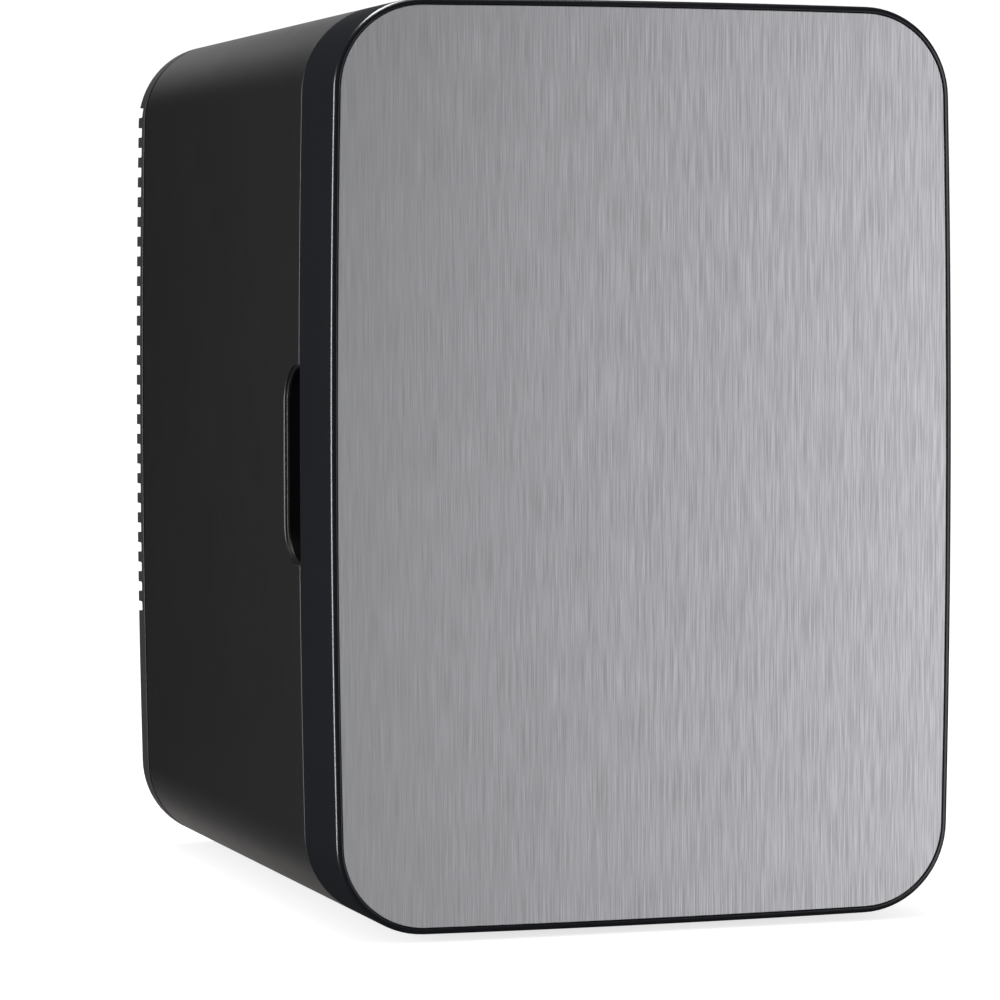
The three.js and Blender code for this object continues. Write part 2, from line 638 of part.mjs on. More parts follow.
function doorShell() {
  const whole = slab(bodyOutline(0), FRONT_Y, DOOR_REAR_Y + 6, 2.5);
  return cut(
    whole,
    block(-200, 200, DOOR_REAR_Y, DOOR_REAR_Y + 20, -250, 250),
    slab(bodyOutline(DOOR_WALL), FRONT_Y + DOOR_WALL, DOOR_REAR_Y + 1),
    slab(bodyOutline(PANEL_INSET - GAP), FRONT_Y - 1, FRONT_Y + PANEL_RECESS),
    ...leafScrewHoles(DOOR_LEAF_SCREW_Y, 1.9),
    ...barrelRelief(),
  );
}

const doorPanel = () =>
  slab(bodyOutline(PANEL_INSET), FRONT_Y + PANEL_RECESS - GAP - PANEL_T, FRONT_Y + PANEL_RECESS - GAP);

function doorInnerLiner() {
  const { halfW, halfH, r, floorY } = RECESS;
  const plate = slab(bodyOutline(DOOR_WALL + GAP), DOOR_REAR_Y - PLATE_T, DOOR_REAR_Y);
  const tub = slab(roundedRectangle(halfW + 2, halfH + 2, r + 2), floorY - 2, DOOR_REAR_Y - 1);
  const channel = band(GASKET_HALF + 3, DOOR_REAR_Y - GROOVE_DEPTH - 2, DOOR_REAR_Y - 1);
  const hollow = slab(roundedRectangle(halfW, halfH, r), floorY, DOOR_REAR_Y + 1);
  const groove = band(GASKET_HALF + 1, DOOR_REAR_Y - GROOVE_DEPTH, DOOR_REAR_Y + 1);
  return cut(join(plate, tub, channel), hollow, groove, ...barrelRelief());
}

function doorFoam() {
  const { halfW, halfH, r, floorY } = RECESS;
  const whole = slab(bodyOutline(DOOR_WALL + GAP), FRONT_Y + DOOR_WALL + GAP, DOOR_REAR_Y - PLATE_T - GAP);
  const grow = 2 + GAP;
  return cut(
    whole,
    slab(roundedRectangle(halfW + grow, halfH + grow, r + grow), floorY - grow, DOOR_REAR_Y),
    band(GASKET_HALF + 3 + GAP, DOOR_REAR_Y - GROOVE_DEPTH - 2 - GAP, DOOR_REAR_Y),
    ...leafScrewHoles(DOOR_LEAF_SCREW_Y, 2.2),
  );
}

const MAGNET_Z = 140;

function doorGasket() {
  const [y0, y1] = [DOOR_REAR_Y - GROOVE_DEPTH + GAP, CABINET_FRONT_Y - GAP];
  const lip = band(1.6, y1 - 1.2, y1);
  const body = band(GASKET_HALF, y0, y1 - 1);
  const channel = block(
    -GASKET_MID - 2.8,
    -GASKET_MID + 2.8,
    y0 - 1,
    y0 + 2.8,
    -MAGNET_Z - GAP,
    MAGNET_Z + GAP,
  );
  return cut(join(body, lip), channel);
}

function doorMagnet() {
  const y0 = DOOR_REAR_Y - GROOVE_DEPTH + GAP;
  return block(-GASKET_MID - 2.5, -GASKET_MID + 2.5, y0, y0 + 2.4, -MAGNET_Z, MAGNET_Z);
}

// An outline with a flat top and rounded lower corners.
function trayOutline(halfW, z0, z1, r) {
  return [
    new THREE.Vector2(halfW, z1),
    new THREE.Vector2(-halfW, z1),
    ...arc(-halfW + r, z0 + r, r, Math.PI, 1.5 * Math.PI, 5),
    ...arc(halfW - r, z0 + r, r, 1.5 * Math.PI, 2 * Math.PI, 5),
    new THREE.Vector2(halfW, z0 + r),
  ];
}

// A tray that clips across the door's recess, open at the top.
function doorBin(z0, height) {
  const [y0, y1] = [RECESS.floorY + GAP, DOOR_REAR_Y - 3];
  const halfW = RECESS.halfW - GAP;
  const r = RECESS.r;
  const whole = slab(trayOutline(halfW, z0, z0 + height, r), y0, y1);
  const hollow = slab(trayOutline(halfW - 2, z0 + 2, z0 + height + 1, r - 2), y0 + 2, y1 - 2);
  return cut(whole, hollow);
}

// ---- Hinges ---------------------------------------------------------------------------------
const LEAF_X = [HALF_W - 0.3, HALF_W + 1.7];
const KNUCKLE_HALF = 7.7;
const KNUCKLE_BORE = 1.75;

function knuckle(z0, z1) {
  return rod("z", [HINGE_X, HINGE_Y, 0], BARREL_R, z0, z1, 24);
}

const pinBore = (z) =>
  rod("z", [HINGE_X, HINGE_Y, 0], KNUCKLE_BORE, z - HINGE_HALF_H - 1, z + HINGE_HALF_H + 1, 24);

const leafHoles = (y, z) =>
  each(BOTH, (s) => rod("x", [0, y, z + s * LEAF_SCREW_Z], 1.9, HALF_W - 2, HALF_W + 4, 12));

function cabinetLeaf(z) {
  const plate = block(...LEAF_X, HINGE_Y + 5.5, HINGE_Y + 28, z - HINGE_HALF_H, z + HINGE_HALF_H);
  const web = block(...LEAF_X, HINGE_Y, HINGE_Y + 6, z - KNUCKLE_HALF, z + KNUCKLE_HALF);
  const whole = join(plate, web, knuckle(z - KNUCKLE_HALF, z + KNUCKLE_HALF));
  return cut(whole, pinBore(z), ...leafHoles(CABINET_LEAF_SCREW_Y, z));
}

function doorLeaf(z) {
  const plate = block(...LEAF_X, HINGE_Y - 28, HINGE_Y - 5.5, z - HINGE_HALF_H, z + HINGE_HALF_H);
  const ends = each(BOTH, (s) => {
    const [z0, z1] = [z + s * (KNUCKLE_HALF + 0.4), z + s * HINGE_HALF_H].sort((p, q) => p - q);
    return join(block(...LEAF_X, HINGE_Y - 6, HINGE_Y, z0, z1), knuckle(z0, z1));
  });
  return cut(join(plate, ...ends), pinBore(z), ...leafHoles(DOOR_LEAF_SCREW_Y, z));
}

function hingePin(z) {
  const shaft = rod("z", [HINGE_X, HINGE_Y, 0], 1.6, z - HINGE_HALF_H - 1, z + HINGE_HALF_H + 1, 24);
  const top = z + HINGE_HALF_H + GAP;
  return join(shaft, rod("z", [HINGE_X, HINGE_Y, 0], 2.6, top, top + 1.6, 20));
}

function leafScrews(side, y) {
  return HINGES.flatMap(([level, z]) =>
    each(BOTH, (s) => {
      const shape = screw("x", [0, y, z + s * LEAF_SCREW_Z], LEAF_X[1] + GAP, 3.2, 1.3, 1.5, HALF_W - 11);
      const place = s > 0 ? "top" : "bottom";
      return part(`hinge_screw_${side}_${level}_${place}`, shape, MATERIAL.zinc);
    }),
  );
}

// ---- Assembly -------------------------------------------------------------------------------
const cabinet = new THREE.Group();
cabinet.add(
  part("cabinet_shell", cabinetShell(), MATERIAL.shell),
  part("inner_liner", innerLiner(), MATERIAL.liner),
  part("insulation_foam", insulationFoam(), MATERIAL.foam),
  part("rear_partition", rearPartition(), MATERIAL.darkPlastic),
  part("rear_cover", rearCover(), MATERIAL.cover),
  part("strike_plate", strikeBlock(0), MATERIAL.zinc),
  ...FEET.map(foot),
  ...COVER_SCREWS.map(([x, z], i) => {
    const shape = screw("y", [x, 0, z], BACK_Y - 2.3, 3.3, 1.6, 1.5, POST_END_Y - 13);
    return part(`rear_cover_screw_${i + 1}`, shape, MATERIAL.zinc);
  }),
  ...HINGES.flatMap(([level, z]) => [
    part(`hinge_leaf_cabinet_${level}`, cabinetLeaf(z), MATERIAL.darkPlastic),
    part(`hinge_pin_${level}`, hingePin(z), MATERIAL.zinc),
  ]),
  ...leafScrews("cabinet", CABINET_LEAF_SCREW_Y),
);

const heatPump = new THREE.Group();
heatPump.add(
  part("cold_heat_sink", coldHeatSink(), MATERIAL.aluminium),
  part("cold_block", coldBlock(), MATERIAL.aluminium),
  part("peltier_module", block(-20, 20, 80, 83.8, PUMP_Z - 20, PUMP_Z + 20), MATERIAL.ceramic),
  part("hot_heat_sink", hotHeatSink(), MATERIAL.aluminium),
  ...CLAMP_SCREWS.map((z, i) => {
    const shape = screw("y", [0, 0, z], HOT_BASE_Y + 5.5 + GAP, 2.4, 2, 1.4, FOAM_REAR_Y - 12);
    return part(`clamp_screw_${i + 1}`, shape, MATERIAL.zinc);
  }),
  part("cold_fan_frame", fanFrame(COLD_FAN), MATERIAL.darkPlastic),
  part("hot_fan_frame", fanFrame(HOT_FAN), MATERIAL.darkPlastic),
  part("inner_fan_cover", innerFanCover(), MATERIAL.liner),
);
cabinet.add(heatPump);

const electrics = new THREE.Group();
electrics.add(
  part("power_board", powerBoard(), MATERIAL.board),
  part("transformer", transformer(), MATERIAL.winding),
  part("capacitor", capacitor(), MATERIAL.darkPlastic),
  part("board_heat_sink", boardHeatSink(), MATERIAL.aluminium),
  part("mains_inlet", mainsInlet(), MATERIAL.darkPlastic),
  part("dc_socket", dcSocket(), MATERIAL.darkPlastic),
  part("mode_switch_body", switchBody(), MATERIAL.darkPlastic),
  part("indicator_board", indicatorBoard(), MATERIAL.board),
  ...LIGHTS.map(([name, x, tint]) => part(name, indicatorLight(x), MATERIAL[tint])),
);
cabinet.add(electrics);

// Moving pieces of the cabinet
const rotors = new THREE.Group();
rotors.position.z = PUMP_Z;
rotors.add(
  part("cold_fan_rotor", fanRotor(COLD_FAN, 7), MATERIAL.darkPlastic),
  part("hot_fan_rotor", fanRotor(HOT_FAN, 7), MATERIAL.darkPlastic),
);
cabinet.add(rotors);
cabinet.add(part("mode_switch_slider", switchSlider(), MATERIAL.ceramic));
cabinet.add(part("removable_shelf", shelf(), MATERIAL.clear));

const door = new THREE.Group();
door.add(
  part("door_shell", doorShell(), MATERIAL.doorShell),
  part("door_steel_panel", doorPanel(), MATERIAL.steel),
  part("door_foam", doorFoam(), MATERIAL.foam),
  part("door_inner_liner", doorInnerLiner(), MATERIAL.liner),
  part("door_gasket", doorGasket(), MATERIAL.rubber),
  part("door_magnet", doorMagnet(), MATERIAL.rubber),
  part("door_bin_upper", doorBin(-6, 40), MATERIAL.clear),
  part("door_bin_lower", doorBin(-149, 44), MATERIAL.clear),
  ...HINGES.map(([level, z]) => part(`hinge_leaf_door_${level}`, doorLeaf(z), MATERIAL.darkPlastic)),
  ...leafScrews("door", DOOR_LEAF_SCREW_Y),
);

// The body's centre stands above the floor, and left of the overall box's centre by half of
// what the hinges stand out on the right.
const fridge = new THREE.Group();
fridge.position.set(-HINGE_STANDS_OUT / 2, 0, -FLOOR_Z);
fridge.add(cabinet, door);

const root = new THREE.Group();
root.add(fridge);

export default root;
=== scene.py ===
"""The looks of the mini fridge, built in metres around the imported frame."""
import json
import math

import bmesh
import bpy
from mathutils import Matrix, Vector


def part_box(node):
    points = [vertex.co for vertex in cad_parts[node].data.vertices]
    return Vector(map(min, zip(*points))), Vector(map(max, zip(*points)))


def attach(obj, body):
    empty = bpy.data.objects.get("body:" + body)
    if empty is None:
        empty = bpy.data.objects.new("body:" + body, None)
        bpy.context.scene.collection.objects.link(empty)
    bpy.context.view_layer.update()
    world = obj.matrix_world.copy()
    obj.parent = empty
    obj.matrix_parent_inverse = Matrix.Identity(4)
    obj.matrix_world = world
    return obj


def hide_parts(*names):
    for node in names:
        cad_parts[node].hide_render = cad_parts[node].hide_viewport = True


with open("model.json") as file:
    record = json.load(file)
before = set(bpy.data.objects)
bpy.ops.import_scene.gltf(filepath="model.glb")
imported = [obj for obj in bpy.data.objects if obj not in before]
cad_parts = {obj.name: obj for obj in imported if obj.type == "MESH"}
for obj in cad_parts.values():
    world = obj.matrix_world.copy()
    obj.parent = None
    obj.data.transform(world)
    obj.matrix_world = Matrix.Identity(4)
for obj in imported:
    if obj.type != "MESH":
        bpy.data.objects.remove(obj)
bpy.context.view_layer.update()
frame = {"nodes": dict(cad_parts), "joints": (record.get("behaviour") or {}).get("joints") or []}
MM = 0.001

# ---- Places and sizes, from the frame ----------------------------------------------------------
SHELL_LO, SHELL_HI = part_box("cabinet_shell")
COVER_LO, COVER_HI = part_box("rear_cover")
DOOR_LO, DOOR_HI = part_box("door_shell")
PANEL_LO, PANEL_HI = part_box("door_steel_panel")
CENTRE_X = (SHELL_LO.x + SHELL_HI.x) / 2
CENTRE_Z = (SHELL_LO.z + SHELL_HI.z) / 2
HALF_W = (SHELL_HI.x - SHELL_LO.x) / 2
HALF_H = (SHELL_HI.z - SHELL_LO.z) / 2
FRONT_Y, DOOR_REAR_Y = DOOR_LO.y, DOOR_HI.y
CABINET_FRONT_Y, CABINET_REAR_Y = SHELL_LO.y, SHELL_HI.y
BACK_Y = COVER_HI.y
COVER_FRONT_Y = CABINET_REAR_Y + 0.4 * MM
HINGE_AXIS = Vector(next(j for j in frame["joints"] if j["name"] == "door_hinge")["pos_m"])

CORNER_R = 40 * MM
SIDE_BOW_R = 7.0
TOP_BOW_R = 8.4
STRAIGHT = 1000.0
GAP = 0.3 * MM
SHELL_T = 2.8 * MM
BOTH = (-1, 1)

SIDE_STEPS = 6
CORNER_STEPS = 18


# ---- Outlines and profiles ---------------------------------------------------------------------
def outline(half_w, half_h, corner_r, side_bow=STRAIGHT, top_bow=STRAIGHT):
    """Points (u, v) round a rectangle with rounded corners and slightly bowed sides.
    Each arc is tangent to the next, and the count of points is the same whatever the size."""
    side_c, top_c = half_w - side_bow, half_h - top_bow
    ra, rb = side_bow - corner_r, top_bow - corner_r
    span = math.hypot(side_c, top_c)
    ux, uv = -side_c / span, top_c / span
    along = (span**2 + ra**2 - rb**2) / (2 * span)
    across = math.sqrt(ra**2 - along**2)
    cu, cv = side_c + ux * along - uv * across, uv * along + ux * across
    t1 = math.atan2(cv, cu - side_c)
    t2 = math.atan2(cv - top_c, cu)
    quarter = []
    for i in range(SIDE_STEPS):
        t = t1 * i / SIDE_STEPS
        quarter.append((side_c + side_bow * math.cos(t), side_bow * math.sin(t)))
    for i in range(CORNER_STEPS):
        t = t1 + (t2 - t1) * i / CORNER_STEPS
        quarter.append((cu + corner_r * math.cos(t), cv + corner_r * math.sin(t)))
    for i in range(SIDE_STEPS):
        t = t2 + (math.pi / 2 - t2) * i / SIDE_STEPS
        quarter.append((top_bow * math.cos(t), top_c + top_bow * math.sin(t)))
    quarter.append((0.0, half_h))
    return (
        quarter
        + [(-u, v) for u, v in reversed(quarter[:-1])]
        + [(-u, -v) for u, v in quarter[1:]]
        + [(u, -v) for u, v in reversed(quarter[1:-1])]
    )


def facing(points, y, x=None, z=None):
    """An outline stood up in the X-Z plane at y, about the body's centre or another."""
    cx = CENTRE_X if x is None else x
    cz = CENTRE_Z if z is None else z
    return [Vector((cx + u, y, cz + v)) for u, v in points]


def body_ring(inset, y):
    """The body's outline, set in by a distance."""
    r = max(CORNER_R - inset, 2 * MM)
    return facing(outline(HALF_W - inset, HALF_H - inset, r, SIDE_BOW_R - inset, TOP_BOW_R - inset), y)


def rect_ring(half_w, half_h, r, y, x=None, z=None):
    return facing(outline(half_w, half_h, r), y, x, z)


def rounded(corners, steps=4, closed=False):
    """Profile points through (a, b, radius) corners, each rounded to its radius."""
    points = []
    count = len(corners)
    for i, (a, b, r) in enumerate(corners):
        here = Vector((a, b))
        if r == 0 or (not closed and i in (0, count - 1)):
            points.append(here)
            continue
        before = (Vector(corners[i - 1][:2]) - here).normalized()
        after = (Vector(corners[(i + 1) % count][:2]) - here).normalized()
        half = before.angle(after) / 2
        centre = here + (before + after).normalized() * (r / math.sin(half))
        start = here + before * (r / math.tan(half)) - centre
        end = here + after * (r / math.tan(half)) - centre
        turn = start.angle(end)
        for k in range(steps + 1):
            t = k / steps
            mixed = start * math.sin((1 - t) * turn) + end * math.sin(t * turn)
            points.append(centre + mixed / math.sin(turn))
    return points


# ---- Meshes ------------------------------------------------------------------------------------
def to_object(name, bm):
    bmesh.ops.recalc_face_normals(bm, faces=bm.faces)
    mesh = bpy.data.meshes.new(name)
    bm.to_mesh(mesh)
    bm.free()
    obj = bpy.data.objects.new(name, mesh)
    bpy.context.scene.collection.objects.link(obj)
    return obj


def loft(name, rings, closed=False):
    """Quads through rings of equal length. An open loft gets a flat cap at each end."""
    bm = bmesh.new()
    rows = [[bm.verts.new(p) for p in ring] for ring in rings]
    pairs = list(zip(rows, rows[1:]))
    if closed:
        pairs.append((rows[-1], rows[0]))
    for a, b in pairs:
        for i in range(len(a)):
            bm.faces.new((a[i - 1], a[i], b[i], b[i - 1]))
    if not closed:
        bm.faces.new(rows[0])
        bm.faces.new(rows[-1])
    return to_object(name, bm)


def on_body(profile):
    return [body_ring(inset, y) for inset, y in profile]


def middle_xz(lo, hi):
    return (lo.x + hi.x) / 2, (lo.z + hi.z) / 2


def quarter_turn(steps, first=0):
    """Pairs (1 - sine, 1 - cosine) over a right angle, for rings that roll round a corner."""
    angles = [math.pi / 2 * i / steps for i in range(first, steps + 1)]
    return [(1 - math.sin(t), 1 - math.cos(t)) for t in angles]


def block(name, lo, hi, r=0.0, segments=3):
    """A box with rounded edges."""
    bm = bmesh.new()
    bmesh.ops.create_cube(bm, size=1)
    size, middle = Vector(hi) - Vector(lo), (Vector(hi) + Vector(lo)) / 2
    bmesh.ops.transform(bm, matrix=Matrix.Translation(middle) @ Matrix.Diagonal((*size, 1)), verts=bm.verts)
    if r:
        edges = list(bm.edges)
        bmesh.ops.bevel(bm, geom=edges, offset=r, segments=segments, profile=0.5, affect="EDGES")
    return to_object(name, bm)


def turned(name, profile, centre, axis="y", steps=48):
    """A profile of (radius, distance along the axis) points, turned about an axis through centre."""
    rings = []
    for r, h in profile:
        ring = []
        for i in range(steps):
            t = 2 * math.pi * i / steps
            place = [max(r, 1e-5) * math.cos(t), max(r, 1e-5) * math.sin(t)]
            place.insert("xyz".index(axis), h)
            ring.append(Vector(centre) + Vector(place))
        rings.append(ring)
    return loft(name, rings)


def joined(name, objects):
    """Several objects as one, without cutting them."""
    bm = bmesh.new()
    for obj in objects:
        bm.from_mesh(obj.data)
        discard(obj)
    return to_object(name, bm)


def discard(obj):
    mesh = obj.data
    bpy.data.objects.remove(obj)
    if mesh.users == 0:
        bpy.data.meshes.remove(mesh)


def apply_modifiers(obj):
    graph = bpy.context.evaluated_depsgraph_get()
    mesh = bpy.data.meshes.new_from_object(obj.evaluated_get(graph))
    obj.modifiers.clear()
    old, obj.data = obj.data, mesh
    bpy.data.meshes.remove(old)


def weld(mesh):
    """Closes the hairline cracks that a boolean can leave between its faces."""
    bm = bmesh.new()
    bm.from_mesh(mesh)
    bmesh.ops.remove_doubles(bm, verts=bm.verts, dist=0.002 * MM)
    bmesh.ops.dissolve_degenerate(bm, edges=bm.edges, dist=0.001 * MM)
    bm.to_mesh(mesh)
    bm.free()


def combine(obj, tools, operation):
    for tool in tools:
        step = obj.modifiers.new("combine", "BOOLEAN")
        step.operation = operation
        step.solver = "EXACT"
        step.object = tool
    apply_modifiers(obj)
    for tool in tools:
        discard(tool)
    weld(obj.data)
    return obj


def cut(obj, *tools):
    return combine(obj, tools, "DIFFERENCE")


def add(obj, *tools):
    return combine(obj, tools, "UNION")


def bevel(obj, width, segments=2, angle=40):
    step = obj.modifiers.new("edges", "BEVEL")
    step.width = width
    step.segments = segments
    step.limit_method = "ANGLE"
    step.angle_limit = math.radians(angle)
    step.use_clamp_overlap = True
    return obj


def smooth(obj, angle=35):
    for face in obj.data.polygons:
        face.use_smooth = True
    obj.data.set_sharp_from_angle(angle=math.radians(angle))
    step = obj.modifiers.new("normals", "WEIGHTED_NORMAL")
    step.keep_sharp = True
    step.weight = 50


def piece(obj, body, slot, material, *replaced, angle=35):
    """Finishes a piece: shading, material, the body it rides on and the CAD nodes it stands for."""
    smooth(obj, angle)
    obj.data.materials.clear()
    obj.data.materials.append(material)
    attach(obj, body)
    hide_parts(*replaced)
    return obj


# ---- Materials ---------------------------------------------------------------------------------
class Surface:
    """A Principled material with helpers that add procedural detail in the object's own space."""

    def __init__(self, name, roughness, metallic=0.0):
        self.material = bpy.data.materials.new(name)
        self.material.use_nodes = True
        self.nodes = self.material.node_tree.nodes
        self.links = self.material.node_tree.links
        self.shader = self.nodes["Principled BSDF"]
        self.set("Roughness", roughness).set("Metallic", metallic)
        self.coordinates = self.nodes.new("ShaderNodeTexCoord").outputs["Object"]

    def feed(self, socket, value):
        """Links a socket to another one, or sets it to a fixed value."""
        if isinstance(value, bpy.types.NodeSocket):
            self.links.new(value, socket)
        elif socket.type == "RGBA":
            socket.default_value = (*value, 1)
        else:
            socket.default_value = value

    def node(self, kind, inputs):
        node = self.nodes.new("ShaderNode" + kind)
        for key, value in inputs.items():
            self.feed(node.inputs[key], value)
        return node

    def set(self, name, value):
        self.feed(self.shader.inputs[name], value)
        return self

    def noise(self, scale, detail=2.0, stretch=(1, 1, 1), rough=0.5):
        mapped = self.node("Mapping", {"Scale": stretch, "Vector": self.coordinates}).outputs["Vector"]
        settings = {"Scale": scale, "Detail": detail, "Roughness": rough, "Vector": mapped}
        return self.node("TexNoise", settings).outputs["Fac"]

    def across(self):
        return self.node("SeparateXYZ", {0: self.coordinates}).outputs["X"]

    def cells(self, scale, feature="F1"):
        node = self.node("TexVoronoi", {"Scale": scale, "Vector": self.coordinates})
        node.feature = feature
        return node.outputs["Distance"]

    def spread(self, fac, low, high, start=0.3, end=0.7):
        limits = {"From Min": start, "From Max": end, "To Min": low, "To Max": high}
        return self.node("MapRange", limits | {"Value": fac}).outputs["Result"]

    def blend(self, fac, first, second):
        node = self.nodes.new("ShaderNodeMix")
        node.data_type = "RGBA"
        for key, value in ((0, fac), (6, first), (7, second)):
            self.feed(node.inputs[key], value)
        return node.outputs[2]

    def combined(self, a, b, operation="ADD"):
        node = self.node("Math", {0: a, 1: b})
        node.operation = operation
        return node.outputs[0]

    def colour(self, value):
        return self.set("Base Color", value)

    def rough(self, value):
        return self.set("Roughness", value)

    def bump(self, height, distance):
        node = self.node("Bump", {"Distance": distance, "Height": height})
        return self.set("Normal", node.outputs["Normal"])


def moulded_plastic(name, light, dark, rough, grain_scale, grain_depth, specular=0.5):
    """Moulded plastic: fine spark-eroded grain, faint flow variation and handling marks in the gloss."""
    s = Surface(name, rough).set("Specular IOR Level", specular)
    flow = s.noise(9, 3)
    s.colour(s.blend(s.spread(flow, 0, 1), dark, light))
    marks = s.noise(55, 4, (1, 1, 0.6), 0.6)
    s.rough(s.spread(marks, rough - 0.008, rough + 0.012))
    return s.bump(s.noise(grain_scale, 2), grain_depth).material


def brushed_metal(name, light, dark, rough, stretch, depth, aniso, painted_sheen_swell=(1.0, 1.0)):
    """Brushed sheet: long fine streaks along the low component of stretch, over a soft cloudiness.

    The streaks' contrast runs between the two values of the last argument from left to right; in the gloss
    this is roughness, in the colour it is painted sheen, the grain drawn stronger where the light falls
    brighter.
    """
    s = Surface(name, rough, 1.0).set("Anisotropic", aniso)
    fine = s.noise(1, 2, stretch, 0.6)
    coarse = s.noise(1, 1, tuple(v * 0.5 for v in stretch), 0.5)
    streak = s.combined(s.combined(fine, 0.8, "MULTIPLY"), s.combined(coarse, 0.2, "MULTIPLY"))
    # painted sheen: the streaks' colour contrast changes from left to right, standing in for the grain
    # catching more light where the highlight is brighter
    painted_sheen_gain = s.spread(s.across(), *painted_sheen_swell, -0.14, 0.14)
    streak = s.combined(s.combined(s.combined(streak, -0.5), painted_sheen_gain, "MULTIPLY"), 0.5)
    s.colour(s.blend(s.spread(streak, 0, 1, 0.40, 0.60), dark, light))
    cloud = s.noise(7, 2)
    gloss = s.combined(s.spread(streak, -0.04, 0.04), s.spread(cloud, rough - 0.005, rough + 0.005))
    return s.rough(gloss).bump(fine, depth).material


def clear_plastic():
    s = Surface("clear_plastic", 0.12).set("Transmission Weight", 0.92).set("IOR", 1.53)
    s.colour(s.blend(s.noise(14, 2), (0.90, 0.94, 0.96), (0.96, 0.98, 0.99)))
    s.rough(s.spread(s.noise(60, 3), 0.07, 0.16))
    return s.bump(s.noise(220, 2), 0.00003).material


def rubber(name, light, dark):
    s = Surface(name, 0.75).set("Specular IOR Level", 0.35)
    s.colour(s.blend(s.spread(s.noise(120, 4), 0, 1), dark, light))
    s.rough(s.spread(s.noise(300, 3), 0.62, 0.86))
    return s.bump(s.noise(2600, 2), 0.00003).material


def foam():
    s = Surface("rigid_foam", 0.95).set("Specular IOR Level", 0.2)
    cell = s.cells(700)
    s.colour(s.blend(cell, (0.62, 0.52, 0.28), (0.80, 0.72, 0.47)))
    return s.bump(cell, 0.0003).material


def board():
    s = Surface("circuit_board", 0.35)
    traces = s.cells(260, "DISTANCE_TO_EDGE")
    copper = s.spread(traces, 1, 0, 0.03, 0.06)
    s.colour(s.blend(copper, (0.012, 0.11, 0.045), (0.03, 0.22, 0.09)))
    s.rough(s.spread(s.noise(80, 2), 0.28, 0.42))
    return s.bump(copper, 0.00004).material


def winding():
    s = Surface("taped_winding", 0.4)
    turns = s.noise(1, 1, (60, 60, 1400))
    s.colour(s.blend(s.spread(turns, 0, 1), (0.50, 0.32, 0.03), (0.75, 0.55, 0.10)))
    s.rough(s.spread(s.noise(150, 2), 0.3, 0.5))
    return s.bump(turns, 0.0001).material


def lens(name, tint):
    s = Surface(name, 0.12).set("Transmission Weight", 0.6).set("IOR", 1.5)
    deep = tuple(v * 0.6 for v in tint)
    s.colour(s.blend(s.noise(500, 2), deep, tint))
    return s.rough(s.spread(s.noise(900, 2), 0.08, 0.2)).material


def ceramic():
    s = Surface("white_ceramic", 0.45)
    s.colour(s.blend(s.noise(400, 3), (0.80, 0.79, 0.76), (0.88, 0.88, 0.86)))
    s.rough(s.spread(s.noise(600, 2), 0.4, 0.55))
    return s.bump(s.noise(1800, 2), 0.00002).material


LOOK = {
    "shell": moulded_plastic("satin_black_shell", (0.0040, 0.0040, 0.0044), (0.0033, 0.0033, 0.0037),
                             0.40, 900, 0.000001),
    # painted shade: a darker, less reflective copy of the black plastic, put where shade falls in the finger
    # pocket and in the cover's joint groove
    "pocket": moulded_plastic("painted_shade_black", (0.0014, 0.0014, 0.0018), (0.0010, 0.0010, 0.0013),
                              0.5, 900, 0.000001, 0.12),
    "door": moulded_plastic("semi_gloss_black_door", (0.0050, 0.0055, 0.0070), (0.0042, 0.0047, 0.0062),
                            0.25, 500, 0.0000004),
    "cover": moulded_plastic("grained_black_cover", (0.0150, 0.0150, 0.0155), (0.0120, 0.0120, 0.0125),
                             0.48, 2400, 0.000018),
    "dark": moulded_plastic("black_nylon", (0.0150, 0.0150, 0.0155), (0.0110, 0.0110, 0.0115),
                            0.46, 2200, 0.000012),
    "liner": moulded_plastic("light_grey_liner", (0.430, 0.440, 0.455), (0.400, 0.410, 0.428),
                             0.34, 650, 0.000006),
    "white": moulded_plastic("white_switch", (0.72, 0.72, 0.70), (0.66, 0.66, 0.64), 0.38, 1500, 0.00001),
    # steel: the last pair gives the streaks' painted sheen, faint at the left and strong at the right, where
    # the front light falls brighter
    "steel": brushed_metal("brushed_steel_front", (0.76, 0.76, 0.795), (0.47, 0.47, 0.495), 0.44,
                           (3200, 60, 40), 0.000004, 0.55, (0.3, 1.25)),
    "aluminium": brushed_metal("extruded_aluminium", (0.74, 0.75, 0.76), (0.60, 0.61, 0.62), 0.34,
                               (900, 25, 900), 0.00001, 0.3),
    "zinc": brushed_metal("zinc_plated_steel", (0.66, 0.66, 0.64), (0.50, 0.50, 0.49), 0.30,
                          (1200, 1200, 1200), 0.000006, 0.0),
    "clear": clear_plastic(),
    "rubber": rubber("black_rubber", (0.020, 0.020, 0.020), (0.012, 0.012, 0.012)),
    "gasket": rubber("gasket_rubber", (0.030, 0.030, 0.031), (0.020, 0.020, 0.021)),
    "foam": foam(),
    "board": board(),
    "winding": winding(),
    "green": lens("green_lens", (0.10, 0.62, 0.16)),
    "red": lens("red_lens", (0.75, 0.08, 0.05)),
    "ceramic": ceramic(),
}

# ---- Cabinet -----------------------------------------------------------------------------------
POCKET_HALF_H = 43.8 * MM
POCKET_DEPTH_Y = 25.2 * MM
POCKET_DEPTH_X = 17 * MM
POCKET_R_Y, POCKET_R_Z = 21.5 * MM, 17 * MM
POCKET_STEPS = 14
SIDE_X = CENTRE_X - HALF_W


